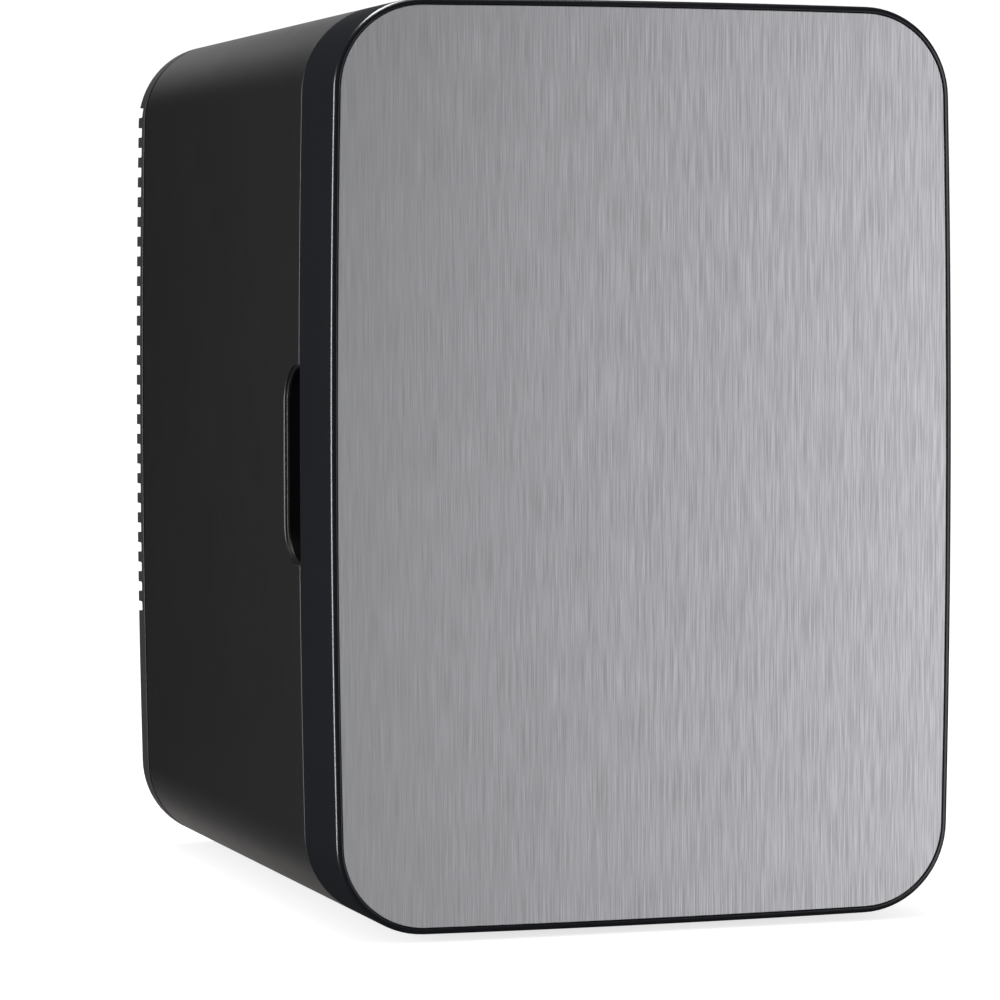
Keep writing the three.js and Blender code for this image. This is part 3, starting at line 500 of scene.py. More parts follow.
def pocket_ring(grow, depth, front):
    """The finger pocket's D-shaped outline at a depth in from the side, grown by a distance."""
    rear = CABINET_FRONT_Y + POCKET_DEPTH_Y + grow
    half = POCKET_HALF_H + grow
    run, rise = POCKET_R_Y + grow, POCKET_R_Z + grow
    points = [(front, -half)]
    for sign, start in ((-1, -math.pi / 2), (1, 0)):
        for i in range(POCKET_STEPS + 1):
            t = start + math.pi / 2 * i / POCKET_STEPS
            points.append((rear - run + run * math.cos(t), sign * (half - rise) + rise * math.sin(t)))
    points.append((front, half))
    return [Vector((SIDE_X + depth, y, CENTRE_Z + z)) for y, z in points]


def pocket_tool(profile, front):
    return loft("pocket_tool", [pocket_ring(grow, depth, front) for grow, depth in profile])


def pocket_void():
    """The pocket with a rolled outer lip, a narrow ledge and a second, softer lip inside it."""
    corners = [
        (5.0 * MM, -4.0 * MM, 0),
        (1.0 * MM, -0.2 * MM, 0),
        (0.2 * MM, 0.5 * MM, 0.45 * MM),
        (0.1 * MM, 1.3 * MM, 0.12 * MM),
        (-0.6 * MM, 1.35 * MM, 0.3 * MM),
        (-0.9 * MM, 2.2 * MM, 0.5 * MM),
        (-1.5 * MM, POCKET_DEPTH_X, 3.5 * MM),
        (-18 * MM, POCKET_DEPTH_X + 0.2 * MM, 0),
    ]
    return pocket_tool(rounded(corners, 5), CABINET_FRONT_Y - 5 * MM)


def pocket_bowl(extra, front):
    deep = POCKET_DEPTH_X + 2 * MM + extra
    return pocket_tool([(2 * MM + extra, 1.25 * MM), (1.8 * MM + extra, deep)], front)


def hinge_reliefs():
    reliefs = []
    for level in ("upper", "lower"):
        lo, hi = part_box(f"hinge_pin_{level}")
        profile = [(4.1 * MM, lo.z - 1.6 * MM), (4.1 * MM, hi.z + 0.6 * MM)]
        reliefs.append(turned("relief", profile, (HINGE_AXIS.x, HINGE_AXIS.y, 0), "z", 40))
    return reliefs


def cabinet_shell():
    corners = [
        (0, CABINET_FRONT_Y, 0.5 * MM),
        (0, CABINET_REAR_Y, 0.2 * MM),
        (SHELL_T, CABINET_REAR_Y, 0.3 * MM),
        (SHELL_T, CABINET_FRONT_Y, 0.5 * MM),
    ]
    shell = loft("cabinet_outer_shell", on_body(rounded(corners, closed=True)), closed=True)
    add(shell, pocket_bowl(0, CABINET_FRONT_Y))
    cut(shell, pocket_void(), *hinge_reliefs())
    piece(shell, "cabinet", "shell_black", LOOK["shell"], "cabinet_shell")
    # painted shade: the finger pocket's inner faces get the darker black, standing in for the shade inside
    # the recess
    shell.data.materials.append(LOOK["pocket"])
    for face in shell.data.polygons:
        x, y, z = face.center - Vector((SIDE_X, CABINET_FRONT_Y, CENTRE_Z))
        if 2.5 * MM < x < 24 * MM and y < 30 * MM and abs(z) < POCKET_HALF_H + 3 * MM:
            face.material_index = 1
    return shell


def cavity_ring(offset, y):
    r = max(14 * MM + offset, 3 * MM)
    return rect_ring(104 * MM + offset, 157 * MM + offset, r, y)


def inner_liner():
    """Vacuum-formed tub: a soft roll at the front, rounded rear corners, and a flange behind the shell."""
    lo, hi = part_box("inner_liner")
    front, rear = lo.y, hi.y - 2 * MM
    roll = 5 * MM
    rings = [cavity_ring(-60 * MM, rear), cavity_ring(-13 * MM, rear)]
    rings += [cavity_ring(-9 * MM * s, rear - 9 * MM * c) for s, c in quarter_turn(6, 1)]
    rings.append(cavity_ring(0, front + roll))
    rings += [cavity_ring(roll * c, front + roll * s) for s, c in quarter_turn(6, 1)]
    flange = SHELL_T + GAP
    rings += [body_ring(flange + 0.6 * MM, front), body_ring(flange, front + 0.6 * MM)]
    rings += [body_ring(flange, front + 2.4 * MM)]
    rings += [cavity_ring(2 * MM, front + 2.4 * MM), cavity_ring(2 * MM, rear + 2 * MM)]
    rings += [cavity_ring(-60 * MM, rear + 2 * MM)]
    liner = loft("cabinet_inner_liner", rings)
    shelf_lo, shelf_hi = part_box("removable_shelf")
    rails = []
    for sign in BOTH:
        x0, x1 = sorted((CENTRE_X + sign * 97 * MM, CENTRE_X + sign * 105 * MM))
        below = (shelf_lo.z - 3.8 * MM, shelf_lo.z - GAP)
        above = (shelf_hi.z + 0.7 * MM, shelf_hi.z + 3.2 * MM)
        for z0, z1 in (below, above):
            rails.append(block("rail", (x0, -112 * MM, z0), (x1, 34 * MM, z1), 0.9 * MM))
    add(liner, *rails)
    pump = middle_xz(*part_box("cold_heat_sink"))[1]
    window_half = 43 * MM
    window_lo = (CENTRE_X - window_half, rear - 4 * MM, pump - window_half)
    window = block("window", window_lo, (CENTRE_X + window_half, rear + 6 * MM, pump + window_half))
    cut(liner, window, pocket_bowl(GAP, CABINET_FRONT_Y - 5 * MM))
    return piece(liner, "cabinet", "liner_grey", LOOK["liner"], "inner_liner")


# ---- Rear cover --------------------------------------------------------------------------------
SLOT_COUNT = 26
SLOT_PITCH = 10 * MM
SLOT_HALF = 2.5 * MM
SLOT_FIRST_Z = CENTRE_Z - 83 * MM
SLOT_DEPTH = 9.5 * MM
GROOVE_W = 2.0 * MM
GROOVE_D = 1.1 * MM
WINDOW_MARGIN = 3.0 * MM


def rear_cover():
    """A tray with a shadow groove at the joint, slots that wrap round its sides, and ribs behind them."""
    corners = [
        (60 * MM, BACK_Y - 2.5 * MM, 0),
        (2.6 * MM, BACK_Y - 2.5 * MM, 1.0 * MM),
        (2.6 * MM, COVER_FRONT_Y, 0.2 * MM),
        (GROOVE_D, COVER_FRONT_Y, 0.2 * MM),
        (GROOVE_D, COVER_FRONT_Y + GROOVE_W, 0.2 * MM),
        (0, COVER_FRONT_Y + GROOVE_W, 0.5 * MM),
        (0, BACK_Y, 2.2 * MM),
        (60 * MM, BACK_Y, 0),
    ]
    cover = loft("rear_cover_moulding", on_body(rounded(corners)))
    x0, x1 = CENTRE_X - HALF_W, CENTRE_X + HALF_W
    top = SLOT_FIRST_Z + (SLOT_COUNT - 1) * SLOT_PITCH
    slots = []
    for i in range(SLOT_COUNT):
        z = SLOT_FIRST_Z + i * SLOT_PITCH
        lo = (x0 - 8 * MM, BACK_Y - SLOT_DEPTH, z - SLOT_HALF)
        slots.append(block("slot", lo, (x1 + 8 * MM, BACK_Y + 6 * MM, z + SLOT_HALF), 0.8 * MM, 2))
    cut(cover, joined("slots", slots))
    ribs = []
    for i in range(-2, 3):
        x = CENTRE_X + i * 46 * MM
        lo = (x - 1.3 * MM, BACK_Y - 7 * MM, SLOT_FIRST_Z - 6 * MM)
        ribs.append(block("rib", lo, (x + 1.3 * MM, BACK_Y - 2.2 * MM, top + 6 * MM), 0.4 * MM, 2))
    add(cover, joined("ribs", ribs))
    skirt = (SHELL_T + GAP, SHELL_T + 2.2 * MM, COVER_LO.y, COVER_FRONT_Y + 3 * MM, 0.4 * MM)
    web = (1.6 * MM, SHELL_T + 1.2 * MM, COVER_FRONT_Y + 0.05 * MM, COVER_FRONT_Y + 2.6 * MM, 0)
    for outer, inner, y0, y1, r in (skirt, web):
        profile = [(outer, y0, r), (outer, y1, 0), (inner, y1, 0), (inner, y0, r)]
        add(cover, loft("skirt", on_body(rounded(profile, 3, True)), closed=True))
    tools = []
    for n in range(1, 5):
        lo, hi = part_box(f"rear_cover_screw_{n}")
        x, z = middle_xz(lo, hi)
        profile = [(1.9 * MM, BACK_Y - 9 * MM), (1.9 * MM, BACK_Y - 2.3 * MM), (4.0 * MM, BACK_Y - 2.3 * MM),
                   (4.2 * MM, BACK_Y - 0.5 * MM), (5.2 * MM, BACK_Y + 0.5 * MM), (5.2 * MM, BACK_Y + 3 * MM)]
        tools.append(turned("screw_hole", profile, (x, 0, z)))
    for name in ("mains_inlet", "dc_socket", "mode_switch_body"):
        lo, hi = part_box(name)
        half_w, half_h = (hi.x - lo.x) / 2 - WINDOW_MARGIN, (hi.z - lo.z) / 2 - WINDOW_MARGIN
        x, z = middle_xz(lo, hi)
        rings = [rect_ring(half_w, half_h, 1.5 * MM, BACK_Y - 6 * MM, x, z)]
        rings += [rect_ring(half_w, half_h, 1.5 * MM, BACK_Y - 0.9 * MM, x, z)]
        rings += [rect_ring(half_w + 1.4 * MM, half_h + 1.4 * MM, 2.9 * MM, BACK_Y + 0.5 * MM, x, z)]
        tools.append(loft("window", rings))
    for name in ("indicator_light_cold", "indicator_light_warm"):
        lo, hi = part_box(name)
        profile = [(1.9 * MM, BACK_Y - 9 * MM), (1.9 * MM, BACK_Y - 0.6 * MM), (3.0 * MM, BACK_Y + 0.5 * MM)]
        x, z = middle_xz(lo, hi)
        tools.append(turned("light_hole", profile, (x, 0, z)))
    cut(cover, *tools)
    piece(cover, "cabinet", "cover_black", LOOK["cover"], "rear_cover", angle=30)
    # painted shade: the faces of the shadow groove at the joint get the darker black, standing in for the
    # shade inside it
    cover.data.materials.append(LOOK["pocket"])
    for face in cover.data.polygons:
        if abs(face.center.y - COVER_FRONT_Y - GROOVE_W / 2) < GROOVE_W / 2 + 0.1 * MM:
            face.material_index = 1
    return cover


# ---- Door --------------------------------------------------------------------------------------
def door_shell():
    recess = FRONT_Y + 1.1 * MM
    rim = 2.7 * MM
    corners = [
        (60 * MM, recess, 0),
        (rim, recess, 0.25 * MM),
        (rim, FRONT_Y, 0.4 * MM),
        (0, FRONT_Y, 2.2 * MM),
        (0, DOOR_REAR_Y, 0.9 * MM),
        (3 * MM, DOOR_REAR_Y, 0.4 * MM),
        (3 * MM, FRONT_Y + 3 * MM, 1.2 * MM),
        (60 * MM, FRONT_Y + 3 * MM, 0),
    ]
    shell = loft("door_outer_shell", on_body(rounded(corners, 5)))
    cut(shell, *hinge_reliefs())
    return piece(shell, "door", "door_black", LOOK["door"], "door_shell")


def steel_panel():
    inset = PANEL_LO.x - SIDE_X
    corners = [
        (90 * MM, PANEL_LO.y, 0),
        (inset, PANEL_LO.y, 0.25 * MM),
        (inset, PANEL_HI.y, 0.1 * MM),
        (90 * MM, PANEL_HI.y, 0),
    ]
    panel = loft("door_front_panel", on_body(rounded(corners, 4)))
    return piece(panel, "door", "steel_front", LOOK["steel"], "door_steel_panel")


def recess_ring(offset, y):
    return rect_ring(90 * MM + offset, 150 * MM + offset, max(12 * MM + offset, 3 * MM), y)


def gasket_ring(offset, y):
    return rect_ring(116 * MM + offset, 169 * MM + offset, 20 * MM + offset, y)


def door_liner():
    """Vacuum-formed door liner: a recess for the bins, and a groove that holds the gasket."""
    rear, plate = DOOR_REAR_Y, 2.6 * MM
    floor = -166 * MM
    groove = rear - 4.8 * MM
    rings = [recess_ring(-60 * MM, floor), recess_ring(-8 * MM, floor)]
    rings += [recess_ring(-6 * MM * s, floor + 6 * MM * c) for s, c in quarter_turn(5, 1)]
    rings += [recess_ring(3 * MM * c, rear - 3 * MM * s) for s, c in quarter_turn(5)]
    for offset, y in ((-6.6, rear), (-6, rear - 0.6 * MM), (-6, groove + 0.5 * MM), (-5.5, groove),
                      (5.5, groove), (6, groove + 0.5 * MM), (6, rear - 0.6 * MM), (6.6, rear)):
        rings.append(gasket_ring(offset * MM, y))
    edge = 3.3 * MM
    rings += [body_ring(edge + 0.8 * MM, rear), body_ring(edge, rear - 0.8 * MM)]
    under, deep = rear - plate, groove - 2 * MM
    rings.append(body_ring(edge, under))
    for offset, y in ((8, under), (8, deep), (-8, deep), (-8, under)):
        rings.append(gasket_ring(offset * MM, y))
    for offset, y in ((2, under), (2, floor - 2 * MM), (-60, floor - 2 * MM)):
        rings.append(recess_ring(offset * MM, y))
    liner = loft("door_liner", rings)
    return piece(liner, "door", "liner_grey", LOOK["liner"], "door_inner_liner")


def gasket():
    """A bellows gasket: a foot in the groove, a waist, and a bulb that meets the cabinet's flange."""
    lo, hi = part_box("door_gasket")
    base, face = lo.y + 0.1 * MM, hi.y
    outer = [
        (4.8 * MM, base, 0.3 * MM),
        (4.8 * MM, base + 1.2 * MM, 0.5 * MM),
        (2.9 * MM, base + 2.0 * MM, 0.5 * MM),
        (4.6 * MM, base + 3.0 * MM, 0.6 * MM),
        (3.6 * MM, face, 0.8 * MM),
    ]
    inner = [(-offset, y, r) for offset, y, r in reversed(outer)]
    rings = [gasket_ring(offset, y) for offset, y in rounded(outer + inner, 3, closed=True)]
    seal = loft("door_seal", rings, closed=True)
    return piece(seal, "door", "rubber_black", LOOK["gasket"], "door_gasket", "door_magnet")


def flat_ring(half_w, half_d, r, x, y, z):
    return [Vector((x + u, y + v, z)) for u, v in outline(half_w, half_d, r)]


def door_bin(level):
    """A clear tray that is open at the top, with rounded lower corners and a rolled rim."""
    lo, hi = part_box(f"door_bin_{level}")
    x, y = (lo.x + hi.x) / 2, (lo.y + hi.y) / 2
    half_w, half_d = (hi.x - lo.x) / 2, (hi.y - lo.y) / 2
    big, small, wall = 12 * MM, 3.5 * MM, 1.9 * MM
    rings = []
    for s, c in quarter_turn(7):
        rings.append(flat_ring(half_w - big * s, half_d - small * s, 3 * MM, x, y, lo.z + big * c))
    rings.append(flat_ring(half_w, half_d, 3 * MM, x, y, hi.z - 1.0 * MM))
    for a in range(1, 6):
        t = math.pi * a / 6
        s = wall / 2 * (1 - math.cos(t))
        z = hi.z - 1.0 * MM + math.sin(t) * MM
        rings.append(flat_ring(half_w - s, half_d - s, 3 * MM - s / 2, x, y, z))
    for s, c in reversed(quarter_turn(7)):
        w = half_w - wall - (big - wall) * s
        d = half_d - wall - (small - 1.0 * MM) * s
        z = lo.z + wall + (big - wall) * c
        rings.append(flat_ring(w, d, 2 * MM, x, y, z))
    tray = loft(f"door_tray_{level}", rings)
    return piece(tray, "door", "clear_plastic", LOOK["clear"], f"door_bin_{level}")


# ---- Inside ------------------------------------------------------------------------------------
def shelf():
    lo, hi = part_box("removable_shelf")
    x, y = (lo.x + hi.x) / 2, (lo.y + hi.y) / 2
    half_w, half_d = (hi.x - lo.x) / 2, (hi.y - lo.y) / 2
    e = 0.7 * MM
    rings = [
        flat_ring(half_w - e, half_d - e, 5 * MM, x, y, lo.z),
        flat_ring(half_w, half_d, 6 * MM, x, y, lo.z + e),
        flat_ring(half_w, half_d, 6 * MM, x, y, hi.z - e),
        flat_ring(half_w - e, half_d - e, 5 * MM, x, y, hi.z),
    ]
    plate = loft("clear_shelf", rings)
    slots = []
    for i in range(-7, 8):
        cx = x + i * 12 * MM
        a, b = 2.5 * MM, half_d - 14 * MM
        slots.append(loft("slot", [flat_ring(a, b, 2.4 * MM, cx, y, z) for z in (lo.z - MM, hi.z + MM)]))
    cut(plate, joined("slots", slots))
    bevel(plate, 0.4 * MM, 2, 50)
    return piece(plate, "shelf", "clear_plastic", LOOK["clear"], "removable_shelf")


def fan_cover():
    lo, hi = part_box("inner_fan_cover")
    x, z = middle_xz(lo, hi)
    half = (hi.x - lo.x) / 2
    wall = 2 * MM
    rings = [rect_ring(20 * MM, 20 * MM, 3 * MM, lo.y, x, z)]
    for s, c in quarter_turn(5):
        size = half - 5 * MM * s
        rings.append(rect_ring(size, size, 9 * MM - 5 * MM * s, lo.y + 5 * MM * c, x, z))
    rings.append(rect_ring(half, half, 9 * MM, hi.y, x, z))
    rings.append(rect_ring(half - wall, half - wall, 7 * MM, hi.y, x, z))
    for s, c in reversed(quarter_turn(5)):
        inset = wall + 3 * MM * s
        rings.append(rect_ring(half - inset, half - inset, 9 * MM - inset, lo.y + wall + 3 * MM * c, x, z))
    rings.append(rect_ring(20 * MM, 20 * MM, 3 * MM, lo.y + wall, x, z))
    cover = loft("cold_fan_cover", rings)
    slots = []
    for i in range(9):
        cz = z + (i - 4) * 7 * MM
        reach = math.sqrt((31 * MM) ** 2 - (cz - z) ** 2)
        ends = [rect_ring(reach, 1.7 * MM, 1.6 * MM, y, x, cz) for y in (lo.y - MM, lo.y + 3 * MM)]
        slots.append(loft("slot", ends))
    cut(cover, joined("slots", slots))
    vents = []
    for i in range(-2, 3):
        cz = z + i * 15 * MM
        vent_hi = (x + 60 * MM, 32 * MM, cz + 4 * MM)
        vents.append(block("vent", (x - 60 * MM, 22 * MM, cz - 4 * MM), vent_hi, MM))
    cut(cover, joined("vents", vents))
    bevel(cover, 0.4 * MM, 2, 50)
    return piece(cover, "cabinet", "liner_grey", LOOK["liner"], "inner_fan_cover")


def fan_rotor(prefix, blades):
    """Hub cup with a domed nose and swept, twisted blades."""
    lo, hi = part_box(f"{prefix}_fan_rotor")
    axis = next(j for j in frame["joints"] if j["name"] == f"{prefix}_fan_spin")["pos_m"]
    reach = hi.z - axis[2] - 0.2 * MM
    hub = reach * {"cold": 0.375, "hot": 0.40}[prefix]
    front, rear = lo.y + 0.2 * MM, hi.y - 0.2 * MM
    cup = front + 2.4 * MM
    profile = [(0, front), (hub - 2 * MM, front), (hub - 0.6 * MM, front + 0.6 * MM), (hub, front + 2 * MM),
               (hub, rear), (hub - 1.6 * MM, rear), (hub - 1.6 * MM, cup), (2.6 * MM, cup),
               (2.6 * MM, rear - 1 * MM), (1.7 * MM, rear - 1 * MM), (1.7 * MM, cup), (0, cup)]
    parts = [turned("hub", profile, (axis[0], 0, axis[2]), steps=56)]
    across, along, thick = 10, 8, 1.3 * MM
    for b in range(blades):
        bm = bmesh.new()
        skins = []
        for side in BOTH:
            rows = []
            for i in range(across + 1):
                s = i / across
                r = hub - 0.8 * MM + (reach - hub + 0.8 * MM) * s
                row = []
                for j in range(along + 1):
                    v = j / along
                    pitch = math.radians(52 - 20 * s)
                    chord = (rear - front) * 0.94
                    sweep = 0.30 * s + (v - 0.5) * chord / math.tan(pitch) / r * 1.1
                    camber = 0.7 * MM * math.sin(math.pi * v)
                    edge = thick / 2 * math.sin(math.pi * (0.08 + 0.84 * v)) ** 0.6
                    t = 2 * math.pi * b / blades + sweep + (camber + side * edge) / r
                    y = (front + rear) / 2 + (v - 0.5) * chord
                    row.append(bm.verts.new((axis[0] + r * math.cos(t), y, axis[2] + r * math.sin(t))))
                rows.append(row)
            skins.append(rows)
        for rows in skins:
            for a, c in zip(rows, rows[1:]):
                for j in range(along):
                    bm.faces.new((a[j], a[j + 1], c[j + 1], c[j]))
        first, second = skins
        rim = [(i, 0) for i in range(across + 1)] + [(across, j) for j in range(1, along + 1)]
        rim += [(i, along) for i in range(across - 1, -1, -1)] + [(0, j) for j in range(along - 1, 0, -1)]
        for (i, j), (k, m) in zip(rim, rim[1:] + rim[:1]):
            bm.faces.new((first[i][j], first[k][m], second[k][m], second[i][j]))
        parts.append(to_object("blade", bm))
    rotor = joined(f"{prefix}_fan_impeller", parts)
    return piece(rotor, f"{prefix}_fan_rotor", "dark_plastic", LOOK["dark"], f"{prefix}_fan_rotor")


def fan_frame(prefix):
    lo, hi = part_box(f"{prefix}_fan_frame")
    x, z = middle_xz(lo, hi)
    half = (hi.x - lo.x) / 2
    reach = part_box(f"{prefix}_fan_rotor")[1].z - z + 1.0 * MM
    hub = reach * 0.38
    e = 0.6 * MM
    rings = []
    ends = ((half - e, 4, lo.y), (half, 4.6, lo.y + e), (half, 4.6, hi.y - e), (half - e, 4, hi.y))
    for size, r, y in ends:
        rings.append(rect_ring(size, size, r * MM, y, x, z))
    housing = loft(f"{prefix}_fan_housing", rings)
    flare = [(reach + 1.5 * MM, lo.y - MM), (reach + 1.2 * MM, lo.y), (reach + 0.3 * MM, lo.y + 1.4 * MM),
             (reach, lo.y + 3 * MM), (reach, hi.y + MM)]
    tools = [turned("bore", flare, (x, 0, z), steps=72)]
    for sx in BOTH:
        for sz in BOTH:
            place = (x + sx * (half - 5 * MM), 0, z + sz * (half - 5 * MM))
            tools.append(turned("hole", [(2 * MM, lo.y - MM), (2 * MM, hi.y + MM)], place, steps=24))
    cut(housing, *tools)
    y0, y1 = hi.y - 2.5 * MM, hi.y - 0.2 * MM
    seat = turned("seat", [(hub - e, y0), (hub, y0 + e), (hub, y1 - e), (hub - e, y1)], (x, 0, z))
    arms = []
    for half_x, half_z, step in ((reach + MM, 1.6 * MM, 0.1 * MM), (1.6 * MM, reach + MM, 0.2 * MM)):
        low, high = (x - half_x, y0 + step, z - half_z), (x + half_x, y1 - step, z + half_z)
        arms.append(block("arm", low, high, 0.5 * MM, 2))
    profile = [(1.3 * MM, lo.y + 4 * MM), (1.5 * MM, lo.y + 4.2 * MM), (1.5 * MM, y0 + MM)]
    add(housing, seat, *arms, turned("spindle", profile, (x, 0, z)))
    return piece(housing, "cabinet", "dark_plastic", LOOK["dark"], f"{prefix}_fan_frame")


# ---- Hinges, screws and feet -------------------------------------------------------------------
def hinge_leaf(side, level):
    node = f"hinge_leaf_{side}_{level}"
    lo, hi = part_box(node)
    ax, ay = HINGE_AXIS.x, HINGE_AXIS.y
    way = 1 if side == "cabinet" else -1
    x1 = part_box(f"hinge_screw_{side}_{level}_top")[1].x - 1.6 * MM
    x0 = x1 - 2.0 * MM
    far = hi.y if way > 0 else lo.y
    near = ay + way * 5.5 * MM
    y0, y1 = sorted((near, far))
    leaf = block(f"hinge_plate_{side}_{level}", (x0, y0, lo.z), (x1, y1, hi.z), 0.7 * MM, 3)
    middle = (lo.z + hi.z) / 2
    third = 7.7 * MM
    spans = [(middle - third, middle + third)]
    if side == "door":
        spans = [(lo.z, middle - third - 0.4 * MM), (middle + third + 0.4 * MM, hi.z)]
    tools = []
    for z0, z1 in spans:
        e = 0.4 * MM
        barrel = [(3.6 * MM - e, z0), (3.6 * MM, z0 + e), (3.6 * MM, z1 - e), (3.6 * MM - e, z1)]
        tools.append(turned("knuckle", barrel, (ax, ay, 0), "z", 40))
        w0, w1 = sorted((ay, near + way * MM))
        tools.append(block("web", (x0, w0, z0 + 0.1 * MM), (x1, w1, z1 - 0.1 * MM)))
    add(leaf, *tools)
    holes = [turned("bore", [(1.75 * MM, lo.z - MM), (1.75 * MM, hi.z + MM)], (ax, ay, 0), "z", 32)]
    for end in ("top", "bottom"):
        s_lo, s_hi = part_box(f"hinge_screw_{side}_{level}_{end}")
        place = (0, (s_lo.y + s_hi.y) / 2, (s_lo.z + s_hi.z) / 2)
        holes.append(turned("hole", [(1.9 * MM, x0 - MM), (1.9 * MM, x1 + MM)], place, "x", 24))
    cut(leaf, *holes)
    return piece(leaf, side, "dark_plastic", LOOK["dark"], node)


def hinge_pin(level):
    lo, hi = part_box(f"hinge_pin_{level}")
    head = hi.z - 1.6 * MM
    profile = [(1.2 * MM, lo.z), (1.6 * MM, lo.z + 0.4 * MM), (1.6 * MM, head), (2.5 * MM, head),
               (2.6 * MM, head + 0.3 * MM), (2.6 * MM, head + 0.9 * MM), (2.2 * MM, head + 1.4 * MM),
               (1.2 * MM, hi.z)]
    pin = turned(f"hinge_axle_{level}", profile, (HINGE_AXIS.x, HINGE_AXIS.y, 0), "z", 36)
    return piece(pin, "cabinet", "zinc_steel", LOOK["zinc"], f"hinge_pin_{level}")


def screw(node, axis, body):
    """A pan-head screw with a cross recess, its head towards the high end of the axis."""
    lo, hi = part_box(node)
    k = "xyz".index(axis)
    head_r = (hi.z - lo.z) / 2
    top, tip = hi[k], lo[k]
    head_t = (1.3 if axis == "x" else 1.6) * MM
    profile = [(0.2 * MM, tip), (1.0 * MM, tip + 1.6 * MM), (1.45 * MM, tip + 2.2 * MM),
               (1.45 * MM, top - head_t), (head_r, top - head_t)]
    for i in range(5):
        t = math.radians(20 + 70 * i / 4)
        r = head_r * math.cos(t) ** 0.5 if i < 4 else 0.3 * MM
        profile.append((r, top - head_t * (1 - math.sin(t)) * 0.8))
    centre = [(a + b) / 2 for a, b in zip(lo, hi)]
    centre[k] = 0
    part = turned(f"{node}_part", profile, centre, axis, 32)
    bars = []
    for other in [i for i in range(3) if i != k]:
        half = [0.35 * MM] * 3
        half[other] = 1.7 * MM
        a = [c - h for c, h in zip(centre, half)]
        b = [c + h for c, h in zip(centre, half)]
        a[k], b[k] = top - 0.9 * MM, top + MM
        bars.append(block("bar", a, b))
    cut(part, *bars)
    return piece(part, body, "zinc_steel", LOOK["zinc"], node)


def foot(node):
    lo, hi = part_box(node)
    pad = (hi.x - lo.x) / 2
    seat = SHELL_LO.z
    profile = [(0.4 * MM, lo.z + 0.5 * MM), (pad * 0.45, lo.z + 0.5 * MM), (pad * 0.5, lo.z),
               (pad - 1.2 * MM, lo.z), (pad - 0.35 * MM, lo.z + 0.35 * MM), (pad, lo.z + 1.2 * MM),
               (pad, seat - 0.9 * MM),
               (pad - 0.4 * MM, seat - 0.2 * MM), (4 * MM, seat - 0.1 * MM), (4 * MM, hi.z - 0.6 * MM),
               (3.4 * MM, hi.z)]
    rubber_foot = turned(f"{node}_pad", profile, ((lo.x + hi.x) / 2, (lo.y + hi.y) / 2, 0), "z", 56)
    return piece(rubber_foot, "cabinet", "rubber_black", LOOK["rubber"], node)


# ---- Controls ----------------------------------------------------------------------------------
def socket(node, name, recess, depth):
    """A socket body with its flange behind the cover and a shaped recess, cut to a depth."""
    lo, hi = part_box(node)
    x, z = middle_xz(lo, hi)
    half_w, half_h = (hi.x - lo.x) / 2 - 3.3 * MM, (hi.z - lo.z) / 2 - 3.3 * MM
    e = 0.5 * MM
    rings = [rect_ring(half_w, half_h, 1.2 * MM, y, x, z) for y in (lo.y, hi.y - e)]
    rings += [rect_ring(half_w - e, half_h - e, 0.9 * MM, hi.y, x, z)]
    housing = loft(name, rings)
    y1 = BACK_Y - 2.8 * MM
    add(housing, block("flange", (lo.x, y1 - 2 * MM, lo.z), (hi.x, y1, hi.z), 0.4 * MM, 2))
    return cut(housing, *recess(x, z, hi.y - depth, hi.y))


def figure_eight(x, z, y0, y1):
    tools = []
    for s in BOTH:
        profile = [(4.1 * MM, y0), (4.1 * MM, y1 - 0.5 * MM), (4.7 * MM, y1 + 0.2 * MM)]
        tools.append(turned("lobe", profile, (x + s * 4.3 * MM, 0, z), steps=40))
    tools.append(block("waist", (x - 4 * MM, y0, z - 3 * MM), (x + 4 * MM, y1 + MM, z + 3 * MM)))
    return tools


def rounded_well(x, z, y0, y1):
    return [loft("well", [rect_ring(7.2 * MM, 4.6 * MM, 2 * MM, y, x, z) for y in (y0, y1 + MM)])]


def mains_inlet():
    inlet = socket("mains_inlet", "mains_inlet_socket", figure_eight, 11.6 * MM)
    lo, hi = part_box("mains_inlet")
    x, z = middle_xz(lo, hi)
    pins = []
    for s in BOTH:
        profile = [(1.15 * MM, hi.y - 13 * MM), (1.15 * MM, hi.y - 3.2 * MM), (0.5 * MM, hi.y - 2.6 * MM)]
        pins.append(turned("pin", profile, (x + s * 4.4 * MM, 0, z), steps=24))
    piece(inlet, "cabinet", "dark_plastic", LOOK["dark"], "mains_inlet")
    piece(joined("mains_inlet_pins", pins), "cabinet", "zinc_steel", LOOK["zinc"])


def dc_socket():
    housing = socket("dc_socket", "dc_socket_housing", rounded_well, 10.6 * MM)
    lo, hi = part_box("dc_socket")
    x, z = middle_xz(lo, hi)
    blades = []
    for s in BOTH:
        cx = x + s * 4.2 * MM
        a = (cx - 0.45 * MM, hi.y - 12 * MM, z - 2 * MM)
        blades.append(block("blade", a, (cx + 0.45 * MM, hi.y - 3 * MM, z + 2 * MM), 0.2 * MM, 2))
    piece(housing, "cabinet", "dark_plastic", LOOK["dark"], "dc_socket")
    piece(joined("dc_socket_blades", blades), "cabinet", "zinc_steel", LOOK["zinc"])


